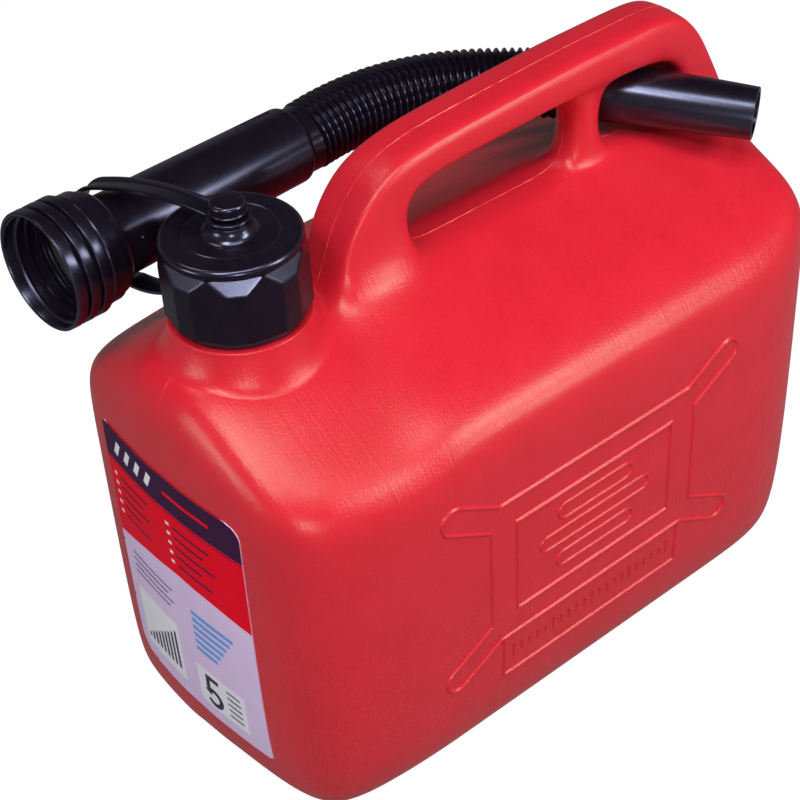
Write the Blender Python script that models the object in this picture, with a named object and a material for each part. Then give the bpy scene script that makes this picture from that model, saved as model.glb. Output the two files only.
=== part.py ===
"""A five litre fuel can with a screw cap, a retaining strap and a stored pouring spout.

Lengths are metres. X runs along the can with the cap at -X, Y across it, Z up.
The origin is the middle of the base.
"""

import math

import bmesh
import bpy
from mathutils import Matrix, Vector

# Can body
BODY_LENGTH = 0.265
BODY_WIDTH = 0.145
ROOF_HEIGHT = 0.180
SHOULDER_DROP = 0.025
FRONT_SHOULDER_DROP = 0.0315
REAR_SHOULDER_DROP = 0.0215
CROWN_DROP = 0.015
FRONT_CROWN_DROP = 0.020
REAR_CROWN_DROP = 0.0095
SPINE_DROP = 0.0008
SEAT_DROP = 0.006
BROW_DROP = 0.003
PLAN_RADIUS = 0.038
BASE_PULL = 0.0050
FRONT_BASE_PULLS = (0.0058, 0.0040)
SILL_HEIGHT = 0.031
FRONT_SILL_HEIGHTS = (0.031, 0.007)
WAIST_HEIGHT = 0.128
BODY_WALL = 0.002

# Handle, moulded in one with the can
HANDLE_RISE = 0.0495
HANDLE_WIDTH = 0.0240
POST_WIDTH = 0.0160
POST_LENGTH = 0.014
HOLE_REAR_REACH = 0.0211
HOLE_FLOOR_RISE = 0.0025

# Neck
NECK_SETBACK = 0.0392
NECK_RISE = 0.0349
NECK_RADIUS = 0.0183
NECK_BORE_RADIUS = 0.0160
NECK_SEAT_RADIUS = 0.0230
NECK_SEAT_RISE = 0.0085
NECK_ROOT_DEPTH = 0.0100
SEAT_HALF_WIDTH = 0.030

# Cap
CLEARANCE = 0.0003
CAP_SIDES = 8
CAP_FLAT_RADIUS = 0.0239
CAP_CORNER_ANGLE = math.radians(8.5)
CAP_TURNED_BY = math.radians(11)
CAP_DISC_RADIUS = 0.02365
CAP_DISC_ROUNDING = 0.0016
CAP_HEIGHT = 0.0278
CAP_TOP_THICKNESS = 0.0026
CAP_SKIRT_LEDGE = 0.0050
CAP_LEDGE_SLOPE = 5
CAP_BORE_RADIUS = 0.0206
BOSS_RADIUS = 0.0088
BOSS_HEIGHT = 0.0042
KNOB_STEM_RADIUS = 0.0040
KNOB_STEM_HEIGHT = 0.0030
KNOB_HEAD_RADIUS = 0.0060
KNOB_HEAD_HEIGHT = 0.0046
ARC_SHARE = 0.3
KNOB_DOME = ((1, 0.6), (0.8, 0.9), (0.4, 1))
SEAL_THICKNESS = 0.0015

# Strap
STRAP_THICKNESS = 0.0015
STRAP_WIDTH = 0.0080
EYE_RIM = 0.0032
NECK_RING_RIM = 0.0040
NECK_RING_HEIGHT = 0.0024
STRAP_ARC_STEPS = 10
STRAP_BOW = 0.0030
STRAP_BOW_STEPS = 3
STRAP_COLLAR_GAP = 0.0030
STRAP_SLACK = 0.0027

# Spout, stored beside the cap and behind the handle
SPOUT_OFFSET = 0.050
SPOUT_RISE = 0.0195
SPOUT_TURN = math.radians(4.0)
SPOUT_FALL = math.radians(1.1)
SPOUT_LENGTH = 0.1115
COLLAR_RADIUS = 0.0216
COLLAR_LENGTH = 0.0260
COLLAR_OVERHANG = 0.0049
COLLAR_THREAD_RADIUS = 0.0200
COLLAR_THREAD_HEIGHT = 0.0008
COLLAR_THREADS = 3
COLLAR_RINGS = 3
COLLAR_RING_WIDTH = 0.0052
COLLAR_GROOVE = 0.0010
COLLAR_SHOULDER_RADIUS = 0.0185
COLLAR_LIP = 0.0045
FLANGE_THICKNESS = 0.0025
BARREL_RADIUS = 0.0149
BARREL_END_RADIUS = 0.0143
BARREL_BORE_RADIUS = 0.0125
BARREL_ROUNDING = 0.0016

# Corrugated hose
HOSE_RIB_RADIUS = 0.0132
HOSE_CORE_RADIUS = 0.0114
HOSE_CUFF_RADIUS = 0.0100
HOSE_BORE_RADIUS = 0.0085
HOSE_CUFF_LENGTH = 0.0240
HOSE_COLLAR_RADIUS = 0.0126
HOSE_COLLAR_LENGTH = 0.0050
HOSE_END_LENGTH = 0.0040
HOSE_RIBS = 38
HOSE_START_PULL = 0.050
HOSE_END_PULL = 0.020
HOSE_START_LIFT = 0.0065
HOSE_END_SAG = 0.0050
SOCKET_SHOULDER = 0.0020

# Pouring tip, parked through the hole behind the post
TIP_LENGTH = 0.0720
TIP_REAR_RADIUS = 0.0120
TIP_END_RADIUS = 0.0098
TIP_WALL = 0.0016
TIP_HEADING = math.radians(57.9)
TIP_FALL = math.radians(2.6)
TIP_RISE = 0.0160
TIP_REACH = 0.0488
PARK_GAP = 0.0014

# Label
LABEL_LOW = 0.0260
LABEL_HIGH = 0.1395
LABEL_WIDTH = 0.0792
LABEL_CORNER = 0.0060
LABEL_THICKNESS = 0.0003

# Fineness
ROUND_SIDES = 32
TIP_SIDES = 24
CUT_OVERRUN = 0.004
HOSE_FINE_STEPS = 400
SHARP_ANGLE = math.radians(32)

# Where the post stands, as a share of half the length
POST_SHARE = 0.4566

HALF_LENGTH = BODY_LENGTH / 2
HALF_WIDTH = BODY_WIDTH / 2
POST_CENTRE = HALF_LENGTH * POST_SHARE
NECK_X = NECK_SETBACK - HALF_LENGTH
NECK_TOP = ROOF_HEIGHT + NECK_RISE
NECK_RING_BOTTOM = ROOF_HEIGHT + NECK_SEAT_RISE + CLEARANCE
CAP_BOTTOM = NECK_RING_BOTTOM + NECK_RING_HEIGHT + 2 * CLEARANCE
CAP_TOP = CAP_BOTTOM + CAP_HEIGHT
CAP_CEILING = CAP_TOP - CAP_TOP_THICKNESS
BOSS_TOP = CAP_TOP + BOSS_HEIGHT
KNOB_NECK_TOP = BOSS_TOP + KNOB_STEM_HEIGHT
MOUTH_CENTRE = Vector((-HALF_LENGTH - COLLAR_OVERHANG, SPOUT_OFFSET, ROOF_HEIGHT + SPOUT_RISE))
SPOUT_DIRECTION = Vector(
    (
        math.cos(SPOUT_TURN) * math.cos(SPOUT_FALL),
        math.sin(SPOUT_TURN) * math.cos(SPOUT_FALL),
        -math.sin(SPOUT_FALL),
    )
)
FLANGE_REAR = COLLAR_LENGTH - COLLAR_LIP - CLEARANCE
FLANGE_FRONT = FLANGE_REAR - FLANGE_THICKNESS
FLANGE_RADIUS = COLLAR_THREAD_RADIUS - COLLAR_THREAD_HEIGHT - CLEARANCE
BARREL_SPAN = SPOUT_LENGTH - FLANGE_FRONT
SOCKET_RADIUS = HOSE_CUFF_RADIUS + CLEARANCE
SOCKET_DEPTH = HOSE_CUFF_LENGTH + CLEARANCE

POST_REACH = math.hypot(
    POST_LENGTH / 2 * math.sin(TIP_HEADING), POST_WIDTH / 2 * math.cos(TIP_HEADING)
)
PARK_X = POST_CENTRE + (POST_REACH + TIP_REAR_RADIUS + PARK_GAP) / math.sin(TIP_HEADING)
TIP_DIRECTION = Vector(
    (
        math.cos(TIP_HEADING) * math.cos(TIP_FALL),
        -math.sin(TIP_HEADING) * math.cos(TIP_FALL),
        -math.sin(TIP_FALL),
    )
)
PARK_POINT = Vector((PARK_X, 0, ROOF_HEIGHT + TIP_RISE))
TIP_END = PARK_POINT + TIP_DIRECTION * TIP_REACH
TIP_START = TIP_END - TIP_DIRECTION * TIP_LENGTH

# The cage's columns along X, as shares of half the length. The post and the parked tip place
# the columns that have none.
COLUMN_SHARES = (-1, -0.834, -0.56, -0.46, -0.204, -0.06, 0.27, None, None, None, None, 1)
CROWN_SHARE = 0.69
HANDLE_CORNER_SHARE = 0.76
SEAT_INNER_SHARE = 0.4
ROOT_FRONT, POST_FRONT, POST_REAR, HOLE_MIDDLE, LEG_FRONT, REAR = 3, 7, 8, 9, 10, 11
BASE, SILL, WAIST, ROOF, UNDER, TOP = range(6)
LAYERS = 7
# Handle cage corners by column, as shares of half the length and of the handle's rise. A corner
# with no share along X keeps its column's place.
UNDER_SHARES = {
    3: (-0.420, 0.44),
    4: (-0.236, 0.56),
    5: (-0.090, 0.62),
    6: (0.270, 0.64),
    7: (None, 0.64),
    8: (None, 0.63),
    9: (None, 0.61),
    10: (None, 0.53),
    11: (0.915, 0.36),
}
TOP_SHARES = {
    3: (-0.300, 0.795),
    4: (-0.180, 0.880),
    5: (-0.060, 0.910),
    6: (0.270, 0.945),
    7: (None, 0.958),
    8: (None, 0.957),
    9: (0.640, 0.962),
    10: (0.775, 0.955),
    11: (0.852, 0.735),
}


def material(name, colour, roughness):
    made = bpy.data.materials.new(name)
    made.use_nodes = True
    shader = made.node_tree.nodes["Principled BSDF"]
    shader.inputs["Base Color"].default_value = (*colour, 1)
    shader.inputs["Roughness"].default_value = roughness
    shader.inputs["Metallic"].default_value = 0
    return made


def add_object(name, mesh, finish, origin=(0, 0, 0)):
    """Links a mesh that is written in world places, with its object's origin moved to a point."""
    mesh.transform(Matrix.Translation(-Vector(origin)))
    mesh.shade_smooth()
    mesh.set_sharp_from_angle(angle=SHARP_ANGLE)
    made = bpy.data.objects.new(name, mesh)
    made.location = origin
    bpy.context.scene.collection.objects.link(made)
    if finish:
        mesh.materials.append(finish)
    return made


def add_helper(name, mesh):
    made = add_object(name, mesh, None)
    made.hide_render = True
    made.display_type = "WIRE"
    return made


def cut(target, other, operation="DIFFERENCE"):
    change = target.modifiers.new(other.name, "BOOLEAN")
    change.operation = operation
    change.object = other
    return change


def ring_mesh(name, rings, closed=False):
    """A skin through rings of equal count. Its ends are capped unless the last ring meets the first."""
    built = bmesh.new()
    loops = [[built.verts.new(point) for point in ring] for ring in rings]
    following = loops[1:] + loops[:1] if closed else loops[1:]
    for near, far in zip(loops, following):
        for index in range(len(near)):
            after = (index + 1) % len(near)
            built.faces.new((near[index], near[after], far[after], far[index]))
    if not closed:
        built.faces.new(reversed(loops[0]))
        built.faces.new(loops[-1])
    bmesh.ops.recalc_face_normals(built, faces=built.faces)
    mesh = bpy.data.meshes.new(name)
    built.to_mesh(mesh)
    built.free()
    return mesh


def circle(radius, height, sides):
    turns = [2 * math.pi * step / sides for step in range(sides)]
    return [Vector((radius * math.cos(t), radius * math.sin(t), height)) for t in turns]


def turned(name, profile, place, sides=ROUND_SIDES, closed=False):
    """Turns (radius, height) points round Z and sets the result at a place."""
    mesh = ring_mesh(name, [circle(radius, height, sides) for radius, height in profile], closed)
    mesh.transform(place)
    return mesh


def along(point, direction):
    """The placing that turns Z into a direction, at a point."""
    turn = Vector(direction).to_track_quat("Z", "Y").to_matrix().to_4x4()
    return Matrix.Translation(point) @ turn


def column_places():
    places = [HALF_LENGTH * share if share is not None else None for share in COLUMN_SHARES]
    places[POST_FRONT] = POST_CENTRE - POST_LENGTH / 2
    places[POST_REAR] = POST_CENTRE + POST_LENGTH / 2
    places[HOLE_MIDDLE] = PARK_X
    places[LEG_FRONT] = PARK_X + HOLE_REAR_REACH
    return places


def plan_rounded(point, inset):
    """Moves a point of the outer outline onto a rounded rectangle in plan."""
    reach_x = HALF_LENGTH - PLAN_RADIUS
    reach_y = HALF_WIDTH - PLAN_RADIUS
    core = Vector((max(-reach_x, min(reach_x, point.x)), max(-reach_y, min(reach_y, point.y)), 0))
    outward = Vector((point.x, point.y, 0)) - core
    moved = core + outward.normalized() * (PLAN_RADIUS - inset)
    return Vector((moved.x, moved.y, point.z))


def handle_point(column, side, inner, row, columns):
    """A corner of the handle's cage. The outer corners lie nearer its middle than the inner ones."""
    share_x, share_z = (UNDER_SHARES if row == UNDER else TOP_SHARES)[column]
    other_z = (TOP_SHARES if row == UNDER else UNDER_SHARES)[column][1]
    if not inner:
        middle = (share_z + other_z) / 2
        share_z = middle + (share_z - middle) * HANDLE_CORNER_SHARE
    x = columns[column] if share_x is None else HALF_LENGTH * share_x
    across = POST_WIDTH / 2 if inner else HANDLE_WIDTH / 2
    return Vector((x, side * across, ROOF_HEIGHT + HANDLE_RISE * share_z))


def cage_point(column, layer, row, columns):
    """One corner of the body's cage. Layers run 0 to 7 across Y."""
    side = -1 if layer < 4 else 1
    depth = min(layer, LAYERS - layer)
    if row in (UNDER, TOP):
        return handle_point(column, side, depth == 3, row, columns)
    front, rear = column < ROOT_FRONT, column == REAR
    seat = column in (1, 2)
    shoulder, crown = SHOULDER_DROP, CROWN_DROP
    if front:
        shoulder, crown = FRONT_SHOULDER_DROP, FRONT_CROWN_DROP
    if rear:
        shoulder, crown = REAR_SHOULDER_DROP, REAR_CROWN_DROP
    across = (
        HALF_WIDTH,
        HALF_WIDTH * CROWN_SHARE,
        SEAT_HALF_WIDTH if seat else HANDLE_WIDTH / 2,
        SEAT_HALF_WIDTH * SEAT_INNER_SHARE if seat else POST_WIDTH / 2,
    )[depth]
    drop = (shoulder, crown, SEAT_DROP if seat else SPINE_DROP, 0)[depth]
    if column == 0:
        drop += BROW_DROP
    if depth > 1 and column == HOLE_MIDDLE:
        drop -= HOLE_FLOOR_RISE
    sill, pull = SILL_HEIGHT, BASE_PULL
    if column == 0:
        sill, pull = (
            near + (far - near) * layer / LAYERS
            for near, far in (FRONT_SILL_HEIGHTS, FRONT_BASE_PULLS)
        )
    height = (0, sill, WAIST_HEIGHT, ROOF_HEIGHT - drop)[row]
    outer = depth == 0 or column in (0, REAR)
    if row == BASE and outer:
        height = pull
    point = Vector((columns[column], side * across, height))
    if not outer:
        return point
    return plan_rounded(point, pull if row == BASE else 0)


def filled(column, layer, row):
    if not (0 <= column < REAR and 0 <= layer < LAYERS and 0 <= row < TOP):
        return False
    if row < ROOF:
        return True
    if layer not in (2, 3, 4) or column < ROOT_FRONT:
        return False
    if row == UNDER or column in (ROOT_FRONT, LEG_FRONT):
        return True
    return column == POST_FRONT and layer == 3


def cage_mesh(name):
    """The outer faces of the filled cells, as one closed cage."""
    columns = column_places()
    built = bmesh.new()
    corners = {}

    def corner(key):
        if key not in corners:
            corners[key] = built.verts.new(cage_point(*key, columns))
        return corners[key]

    sides = ((0, 1, 2), (1, 2, 0), (2, 0, 1))
    for cell in [(c, l, r) for c in range(REAR) for l in range(LAYERS) for r in range(TOP)]:
        if not filled(*cell):
            continue
        for axis, first, second in sides:
            for step in (0, 1):
                beyond = list(cell)
                beyond[axis] += 2 * step - 1
                if filled(*beyond):
                    continue
                loop = []
                for a, b in ((0, 0), (1, 0), (1, 1), (0, 1)):
                    key = list(cell)
                    key[axis] += step
                    key[first] += a
                    key[second] += b
                    loop.append(corner(tuple(key)))
                built.faces.new(loop if step else loop[::-1])
    bmesh.ops.recalc_face_normals(built, faces=built.faces)
    mesh = bpy.data.meshes.new(name)
    built.to_mesh(mesh)
    built.free()
    return mesh


def smooth_cage(target, levels=1):
    rounding = target.modifiers.new("Rounding", "SUBSURF")
    rounding.levels = levels
    rounding.render_levels = levels


def make_body(finish):
    body = add_object("can_body", cage_mesh("can_body"), finish)
    smooth_cage(body)
    wall = body.modifiers.new("Wall", "SOLIDIFY")
    wall.thickness = BODY_WALL
    wall.offset = -1
    place = Matrix.Translation((NECK_X, 0, 0))
    foot = ROOF_HEIGHT - NECK_ROOT_DEPTH
    seat_top = ROOF_HEIGHT + NECK_SEAT_RISE
    neck = [
        (NECK_SEAT_RADIUS, foot),
        (NECK_SEAT_RADIUS, seat_top - BODY_WALL),
        (NECK_SEAT_RADIUS - BODY_WALL / 2, seat_top),
        (NECK_RADIUS, seat_top),
        (NECK_RADIUS, NECK_TOP),
    ]
    cut(body, add_helper("neck_outside", turned("neck_outside", neck, place)), "UNION")
    bore = [(NECK_BORE_RADIUS, foot - CUT_OVERRUN * 2), (NECK_BORE_RADIUS, NECK_TOP + CUT_OVERRUN)]
    cut(body, add_helper("neck_bore", turned("neck_bore", bore, place)))
    return body


def make_label(finish):
    """A skin that follows the can's front face."""
    label = add_object("front_label", cage_mesh("front_label"), finish)
    smooth_cage(label)
    lift = label.modifiers.new("Lift", "DISPLACE")
    lift.strength = CLEARANCE
    lift.mid_level = 0
    sheet = label.modifiers.new("Sheet", "SOLIDIFY")
    sheet.thickness = LABEL_THICKNESS
    sheet.offset = 1
    outline = []
    reach_y = LABEL_WIDTH / 2 - LABEL_CORNER
    middle = (LABEL_LOW + LABEL_HIGH) / 2
    reach_z = (LABEL_HIGH - LABEL_LOW) / 2 - LABEL_CORNER
    steps = 4
    for quarter, (y, z) in enumerate(((1, 1), (-1, 1), (-1, -1), (1, -1))):
        for step in range(steps + 1):
            turn = math.pi / 2 * (quarter + step / steps)
            outline.append(
                (
                    y * reach_y + LABEL_CORNER * math.cos(turn),
                    middle + z * reach_z + LABEL_CORNER * math.sin(turn),
                )
            )
    front = -HALF_LENGTH - CUT_OVERRUN
    back = -HALF_LENGTH + PLAN_RADIUS
    rings = [[Vector((x, y, z)) for y, z in outline] for x in (front, back)]
    cut(label, add_helper("label_outline", ring_mesh("label_outline", rings)), "INTERSECT")
    return label


def skirt_ring(height_at):
    """The cap's outline, a polygon with its corners cut flat. height_at gives Z from a radius."""
    ring = []
    for side in range(CAP_SIDES):
        middle = CAP_TURNED_BY + 2 * math.pi * side / CAP_SIDES
        for turn in (-math.pi / CAP_SIDES, -CAP_CORNER_ANGLE, CAP_CORNER_ANGLE):
            radius = CAP_FLAT_RADIUS / math.cos(math.pi / CAP_SIDES - abs(turn))
            angle = middle + turn
            ring.append(
                Vector((radius * math.cos(angle), radius * math.sin(angle), height_at(radius)))
            )
    return ring


def cap_circle(radius, height):
    """A circle with its points at the same angles as the skirt's."""
    ring = [point.copy() for point in skirt_ring(lambda _: 0)]
    for point in ring:
        scale = radius / point.length
        point.x *= scale
        point.y *= scale
        point.z = height
    return ring


def make_cap(finish):
    ledge_top = CAP_TOP - CAP_SKIRT_LEDGE
    rim = CAP_DISC_ROUNDING
    rings = [
        cap_circle(CAP_BORE_RADIUS, CAP_CEILING),
        cap_circle(CAP_BORE_RADIUS, CAP_BOTTOM),
        skirt_ring(lambda radius: CAP_BOTTOM),
        skirt_ring(lambda radius: ledge_top - CAP_LEDGE_SLOPE * (radius - CAP_DISC_RADIUS)),
        cap_circle(CAP_DISC_RADIUS, ledge_top),
        cap_circle(CAP_DISC_RADIUS, CAP_TOP - rim),
        cap_circle(CAP_DISC_RADIUS - rim * ARC_SHARE, CAP_TOP - rim * ARC_SHARE),
        cap_circle(CAP_DISC_RADIUS - rim, CAP_TOP),
        cap_circle(BOSS_RADIUS, CAP_TOP),
        cap_circle(KNOB_STEM_RADIUS + CLEARANCE * 4, BOSS_TOP),
        cap_circle(KNOB_STEM_RADIUS, BOSS_TOP),
        cap_circle(KNOB_STEM_RADIUS, KNOB_NECK_TOP),
        cap_circle(KNOB_HEAD_RADIUS, KNOB_NECK_TOP),
    ]
    for wide, high in KNOB_DOME:
        height = KNOB_NECK_TOP + KNOB_HEAD_HEIGHT * high
        rings.append(cap_circle(KNOB_HEAD_RADIUS * wide, height))
    mesh = ring_mesh("screw_cap", rings)
    mesh.transform(Matrix.Translation((NECK_X, 0, 0)))
    return add_object("screw_cap", mesh, finish, (NECK_X, 0, CAP_BOTTOM))


def make_cap_seal(finish):
    low = NECK_TOP + CLEARANCE
    high = low + SEAL_THICKNESS
    outer = CAP_BORE_RADIUS - CLEARANCE * 2
    inner = NECK_BORE_RADIUS - BODY_WALL
    profile = [(inner, low), (outer, low), (outer, high), (inner, high)]
    mesh = turned("cap_seal", profile, Matrix.Translation((NECK_X, 0, 0)), closed=True)
    return add_object("cap_seal", mesh, finish, (NECK_X, 0, low))


def strap_crossing():
    """Where the strap crosses the spout's axis, just behind the collar."""
    return spout_point(COLLAR_LENGTH + STRAP_COLLAR_GAP + STRAP_WIDTH / 2)


def strap_bearing():
    crossing = strap_crossing()
    return math.atan2(crossing.y, crossing.x - NECK_X)


def strap_line():
    """The strap's middle line in its own upright plane, from the knob over the barrel to the neck.

    Points are (distance from the cap's axis, height).
    """
    half = STRAP_THICKNESS / 2
    crossing = strap_crossing()
    reach = math.hypot(crossing.y, crossing.x - NECK_X)
    radius = BARREL_RADIUS + STRAP_SLACK + half
    stretch = 1 / math.sin(strap_bearing() - SPOUT_TURN)
    eye = (KNOB_STEM_RADIUS + EYE_RIM - half, BOSS_TOP + CLEARANCE + half)
    ring = (NECK_RADIUS + NECK_RING_RIM - half, NECK_RING_BOTTOM + NECK_RING_HEIGHT / 2)
    span = reach - eye[0]
    fall = math.atan2(eye[1] - crossing.z - radius, span) + 4 * STRAP_BOW / span
    start = math.radians(90) - fall
    low_fall = math.atan2(ring[1] - (crossing.z - radius), reach - ring[0])
    end = math.radians(-90) - low_fall
    arc = []
    for step in range(STRAP_ARC_STEPS + 1):
        turn = start + (end - start) * step / STRAP_ARC_STEPS
        arc.append((reach + radius * stretch * math.cos(turn), crossing.z + radius * math.sin(turn)))
    bow = []
    for step in range(1, STRAP_BOW_STEPS + 1):
        share = step / (STRAP_BOW_STEPS + 1)
        lift = 4 * STRAP_BOW * share * (1 - share)
        bow.append(
            (
                eye[0] + (arc[0][0] - eye[0]) * share,
                eye[1] + (arc[0][1] - eye[1]) * share + lift,
            )
        )
    return [eye, *bow, *arc, ring]


def make_strap(finish):
    line = [Vector((s, 0, z)) for s, z in strap_line()]
    place = Matrix.Translation((NECK_X, 0, 0)) @ Matrix.Rotation(strap_bearing(), 4, "Z")
    rings = []
    for index, point in enumerate(line):
        before = line[max(index - 1, 0)]
        after = line[min(index + 1, len(line) - 1)]
        run = (after - before).normalized()
        out = Vector((run.z, 0, -run.x)) * STRAP_THICKNESS / 2
        wide = Vector((0, STRAP_WIDTH / 2, 0))
        rings.append([point + out + wide, point - out + wide, point - out - wide, point + out - wide])
    mesh = ring_mesh("cap_strap", rings)
    mesh.transform(place)
    strap = add_object("cap_strap", mesh, finish)
    eye_low = BOSS_TOP + CLEARANCE
    inner = KNOB_STEM_RADIUS + CLEARANCE
    outer = KNOB_STEM_RADIUS + EYE_RIM
    eye = [
        (inner, eye_low),
        (outer, eye_low),
        (outer, eye_low + STRAP_THICKNESS),
        (inner, eye_low + STRAP_THICKNESS),
    ]
    ring_inner = NECK_RADIUS + CLEARANCE
    ring_outer = NECK_RADIUS + NECK_RING_RIM
    ring = [
        (ring_inner, NECK_RING_BOTTOM),
        (ring_outer, NECK_RING_BOTTOM),
        (ring_outer, NECK_RING_BOTTOM + NECK_RING_HEIGHT),
        (ring_inner, NECK_RING_BOTTOM + NECK_RING_HEIGHT),
    ]
    centre = Matrix.Translation((NECK_X, 0, 0))
    for name, profile in (("strap_eye", eye), ("strap_neck_ring", ring)):
        helper = add_helper(name, turned(name, profile, centre, TIP_SIDES, closed=True))
        cut(strap, helper, "UNION")
    return strap


def spout_point(distance):
    """A point on the spout's axis, at a distance behind its mouth."""
    return MOUTH_CENTRE + SPOUT_DIRECTION * distance


def on_spout(name, profile, distance, finish):
    start = spout_point(distance)
    mesh = turned(name, profile, along(start, SPOUT_DIRECTION), closed=True)
    return add_object(name, mesh, finish, start)


def make_collar(finish):
    """The union nut. Its profile runs back from the mouth, outside first, then the thread."""
    outside = [(COLLAR_RADIUS - COLLAR_GROOVE, 0)]
    for index in range(COLLAR_RINGS):
        near = COLLAR_RING_WIDTH * index + COLLAR_GROOVE
        far = COLLAR_RING_WIDTH * (index + 1) - COLLAR_GROOVE / 2
        outside += [
            (COLLAR_RADIUS, near),
            (COLLAR_RADIUS, far),
            (COLLAR_RADIUS - COLLAR_GROOVE, far + COLLAR_GROOVE / 2),
        ]
    ring_end = COLLAR_RING_WIDTH * COLLAR_RINGS + COLLAR_GROOVE
    outside += [
        (COLLAR_RADIUS - COLLAR_GROOVE, ring_end + COLLAR_GROOVE),
        (COLLAR_SHOULDER_RADIUS, COLLAR_LENGTH - COLLAR_GROOVE * 2),
        (COLLAR_SHOULDER_RADIUS - COLLAR_GROOVE, COLLAR_LENGTH),
        (BARREL_RADIUS + CLEARANCE, COLLAR_LENGTH),
        (BARREL_RADIUS + CLEARANCE, COLLAR_LENGTH - COLLAR_LIP),
        (COLLAR_THREAD_RADIUS - COLLAR_THREAD_HEIGHT, COLLAR_LENGTH - COLLAR_LIP),
    ]
    thread_end = FLANGE_FRONT - SEAL_THICKNESS - CLEARANCE
    pitch = thread_end / (COLLAR_THREADS + 1)
    inside = []
    for index in range(COLLAR_THREADS, 0, -1):
        middle = pitch * index
        inside += [
            (COLLAR_THREAD_RADIUS, middle + pitch / 4),
            (COLLAR_THREAD_RADIUS - COLLAR_THREAD_HEIGHT, middle),
            (COLLAR_THREAD_RADIUS, middle - pitch / 4),
        ]
    inside.append((COLLAR_THREAD_RADIUS, 0))
    return on_spout("spout_collar", outside + inside, 0, finish)


def make_spout_seal(finish):
    front = FLANGE_FRONT - CLEARANCE - SEAL_THICKNESS
    inner = BARREL_BORE_RADIUS
    profile = [(inner, 0), (FLANGE_RADIUS, 0), (FLANGE_RADIUS, SEAL_THICKNESS), (inner, SEAL_THICKNESS)]
    return on_spout("spout_seal", profile, front, finish)


def make_barrel(finish):
    """Flange, tapered tube, and a socket at the far end for the hose's cuff."""
    socket = BARREL_SPAN - SOCKET_DEPTH
    profile = [
        (BARREL_BORE_RADIUS, 0),
        (FLANGE_RADIUS, 0),
        (FLANGE_RADIUS, FLANGE_THICKNESS),
        (BARREL_RADIUS, FLANGE_THICKNESS),
        (BARREL_RADIUS, COLLAR_LENGTH - FLANGE_FRONT),
        (BARREL_END_RADIUS, BARREL_SPAN - BARREL_ROUNDING),
        (BARREL_END_RADIUS - BARREL_ROUNDING, BARREL_SPAN),
        (SOCKET_RADIUS, BARREL_SPAN),
        (SOCKET_RADIUS, socket),
        (BARREL_BORE_RADIUS, socket - SOCKET_SHOULDER),
    ]
    return on_spout("spout_barrel", profile, FLANGE_FRONT, finish)


def make_tip(finish):
    """A tapered tube with a socket at its rear for the hose's cuff."""
    profile = [
        (SOCKET_RADIUS, 0),
        (TIP_REAR_RADIUS, 0),
        (TIP_END_RADIUS, TIP_LENGTH),
        (TIP_END_RADIUS - TIP_WALL, TIP_LENGTH),
        (TIP_END_RADIUS - TIP_WALL, SOCKET_DEPTH + SOCKET_SHOULDER),
        (SOCKET_RADIUS, SOCKET_DEPTH),
    ]
    mesh = turned("spout_tip", profile, along(TIP_START, TIP_DIRECTION), TIP_SIDES, closed=True)
    return add_object("spout_tip", mesh, finish, TIP_START)


def hose_point(share):
    """A point of the hose's bend between its straight ends."""
    start = spout_point(SPOUT_LENGTH + CLEARANCE + HOSE_COLLAR_LENGTH)
    end = TIP_START - TIP_DIRECTION * (CLEARANCE + HOSE_END_LENGTH)
    near = start + SPOUT_DIRECTION * HOSE_START_PULL + Vector((0, 0, HOSE_START_LIFT))
    far = end - TIP_DIRECTION * HOSE_END_PULL - Vector((0, 0, HOSE_END_SAG))
    rest = 1 - share
    return (
        start * rest**3 + near * 3 * rest**2 * share + far * 3 * rest * share**2 + end * share**3
    )


def hose_line(count):
    """Points at even lengths along the bend."""
    fine = [spout_point(SPOUT_LENGTH + CLEARANCE)]
    fine += [hose_point(step / HOSE_FINE_STEPS) for step in range(HOSE_FINE_STEPS + 1)]
    fine.append(TIP_START - TIP_DIRECTION * CLEARANCE)
    lengths = [0]
    for before, after in zip(fine, fine[1:]):
        lengths.append(lengths[-1] + (after - before).length)
    line = []
    index = 0
    for step in range(count + 1):
        wanted = lengths[-1] * step / count
        while index < len(fine) - 2 and lengths[index + 1] < wanted:
            index += 1
        span = lengths[index + 1] - lengths[index]
        line.append(fine[index].lerp(fine[index + 1], (wanted - lengths[index]) / span))
    return line


def tube(name, points, radii, sides_step=2):
    """A tube through points, each with its own radius, with filled ends."""
    curve = bpy.data.curves.new(name, "CURVE")
    curve.dimensions = "3D"
    curve.bevel_depth = 1
    curve.bevel_resolution = sides_step
    curve.use_fill_caps = True
    spline = curve.splines.new("POLY")
    spline.points.add(len(points) - 1)
    for place, point, radius in zip(spline.points, points, radii):
        place.co = (*point, 1)
        place.radius = radius
    guide = bpy.data.objects.new(name + "_guide", curve)
    bpy.context.scene.collection.objects.link(guide)
    bpy.context.view_layer.update()
    mesh = bpy.data.meshes.new_from_object(guide)
    bpy.data.objects.remove(guide)
    return mesh


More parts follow.
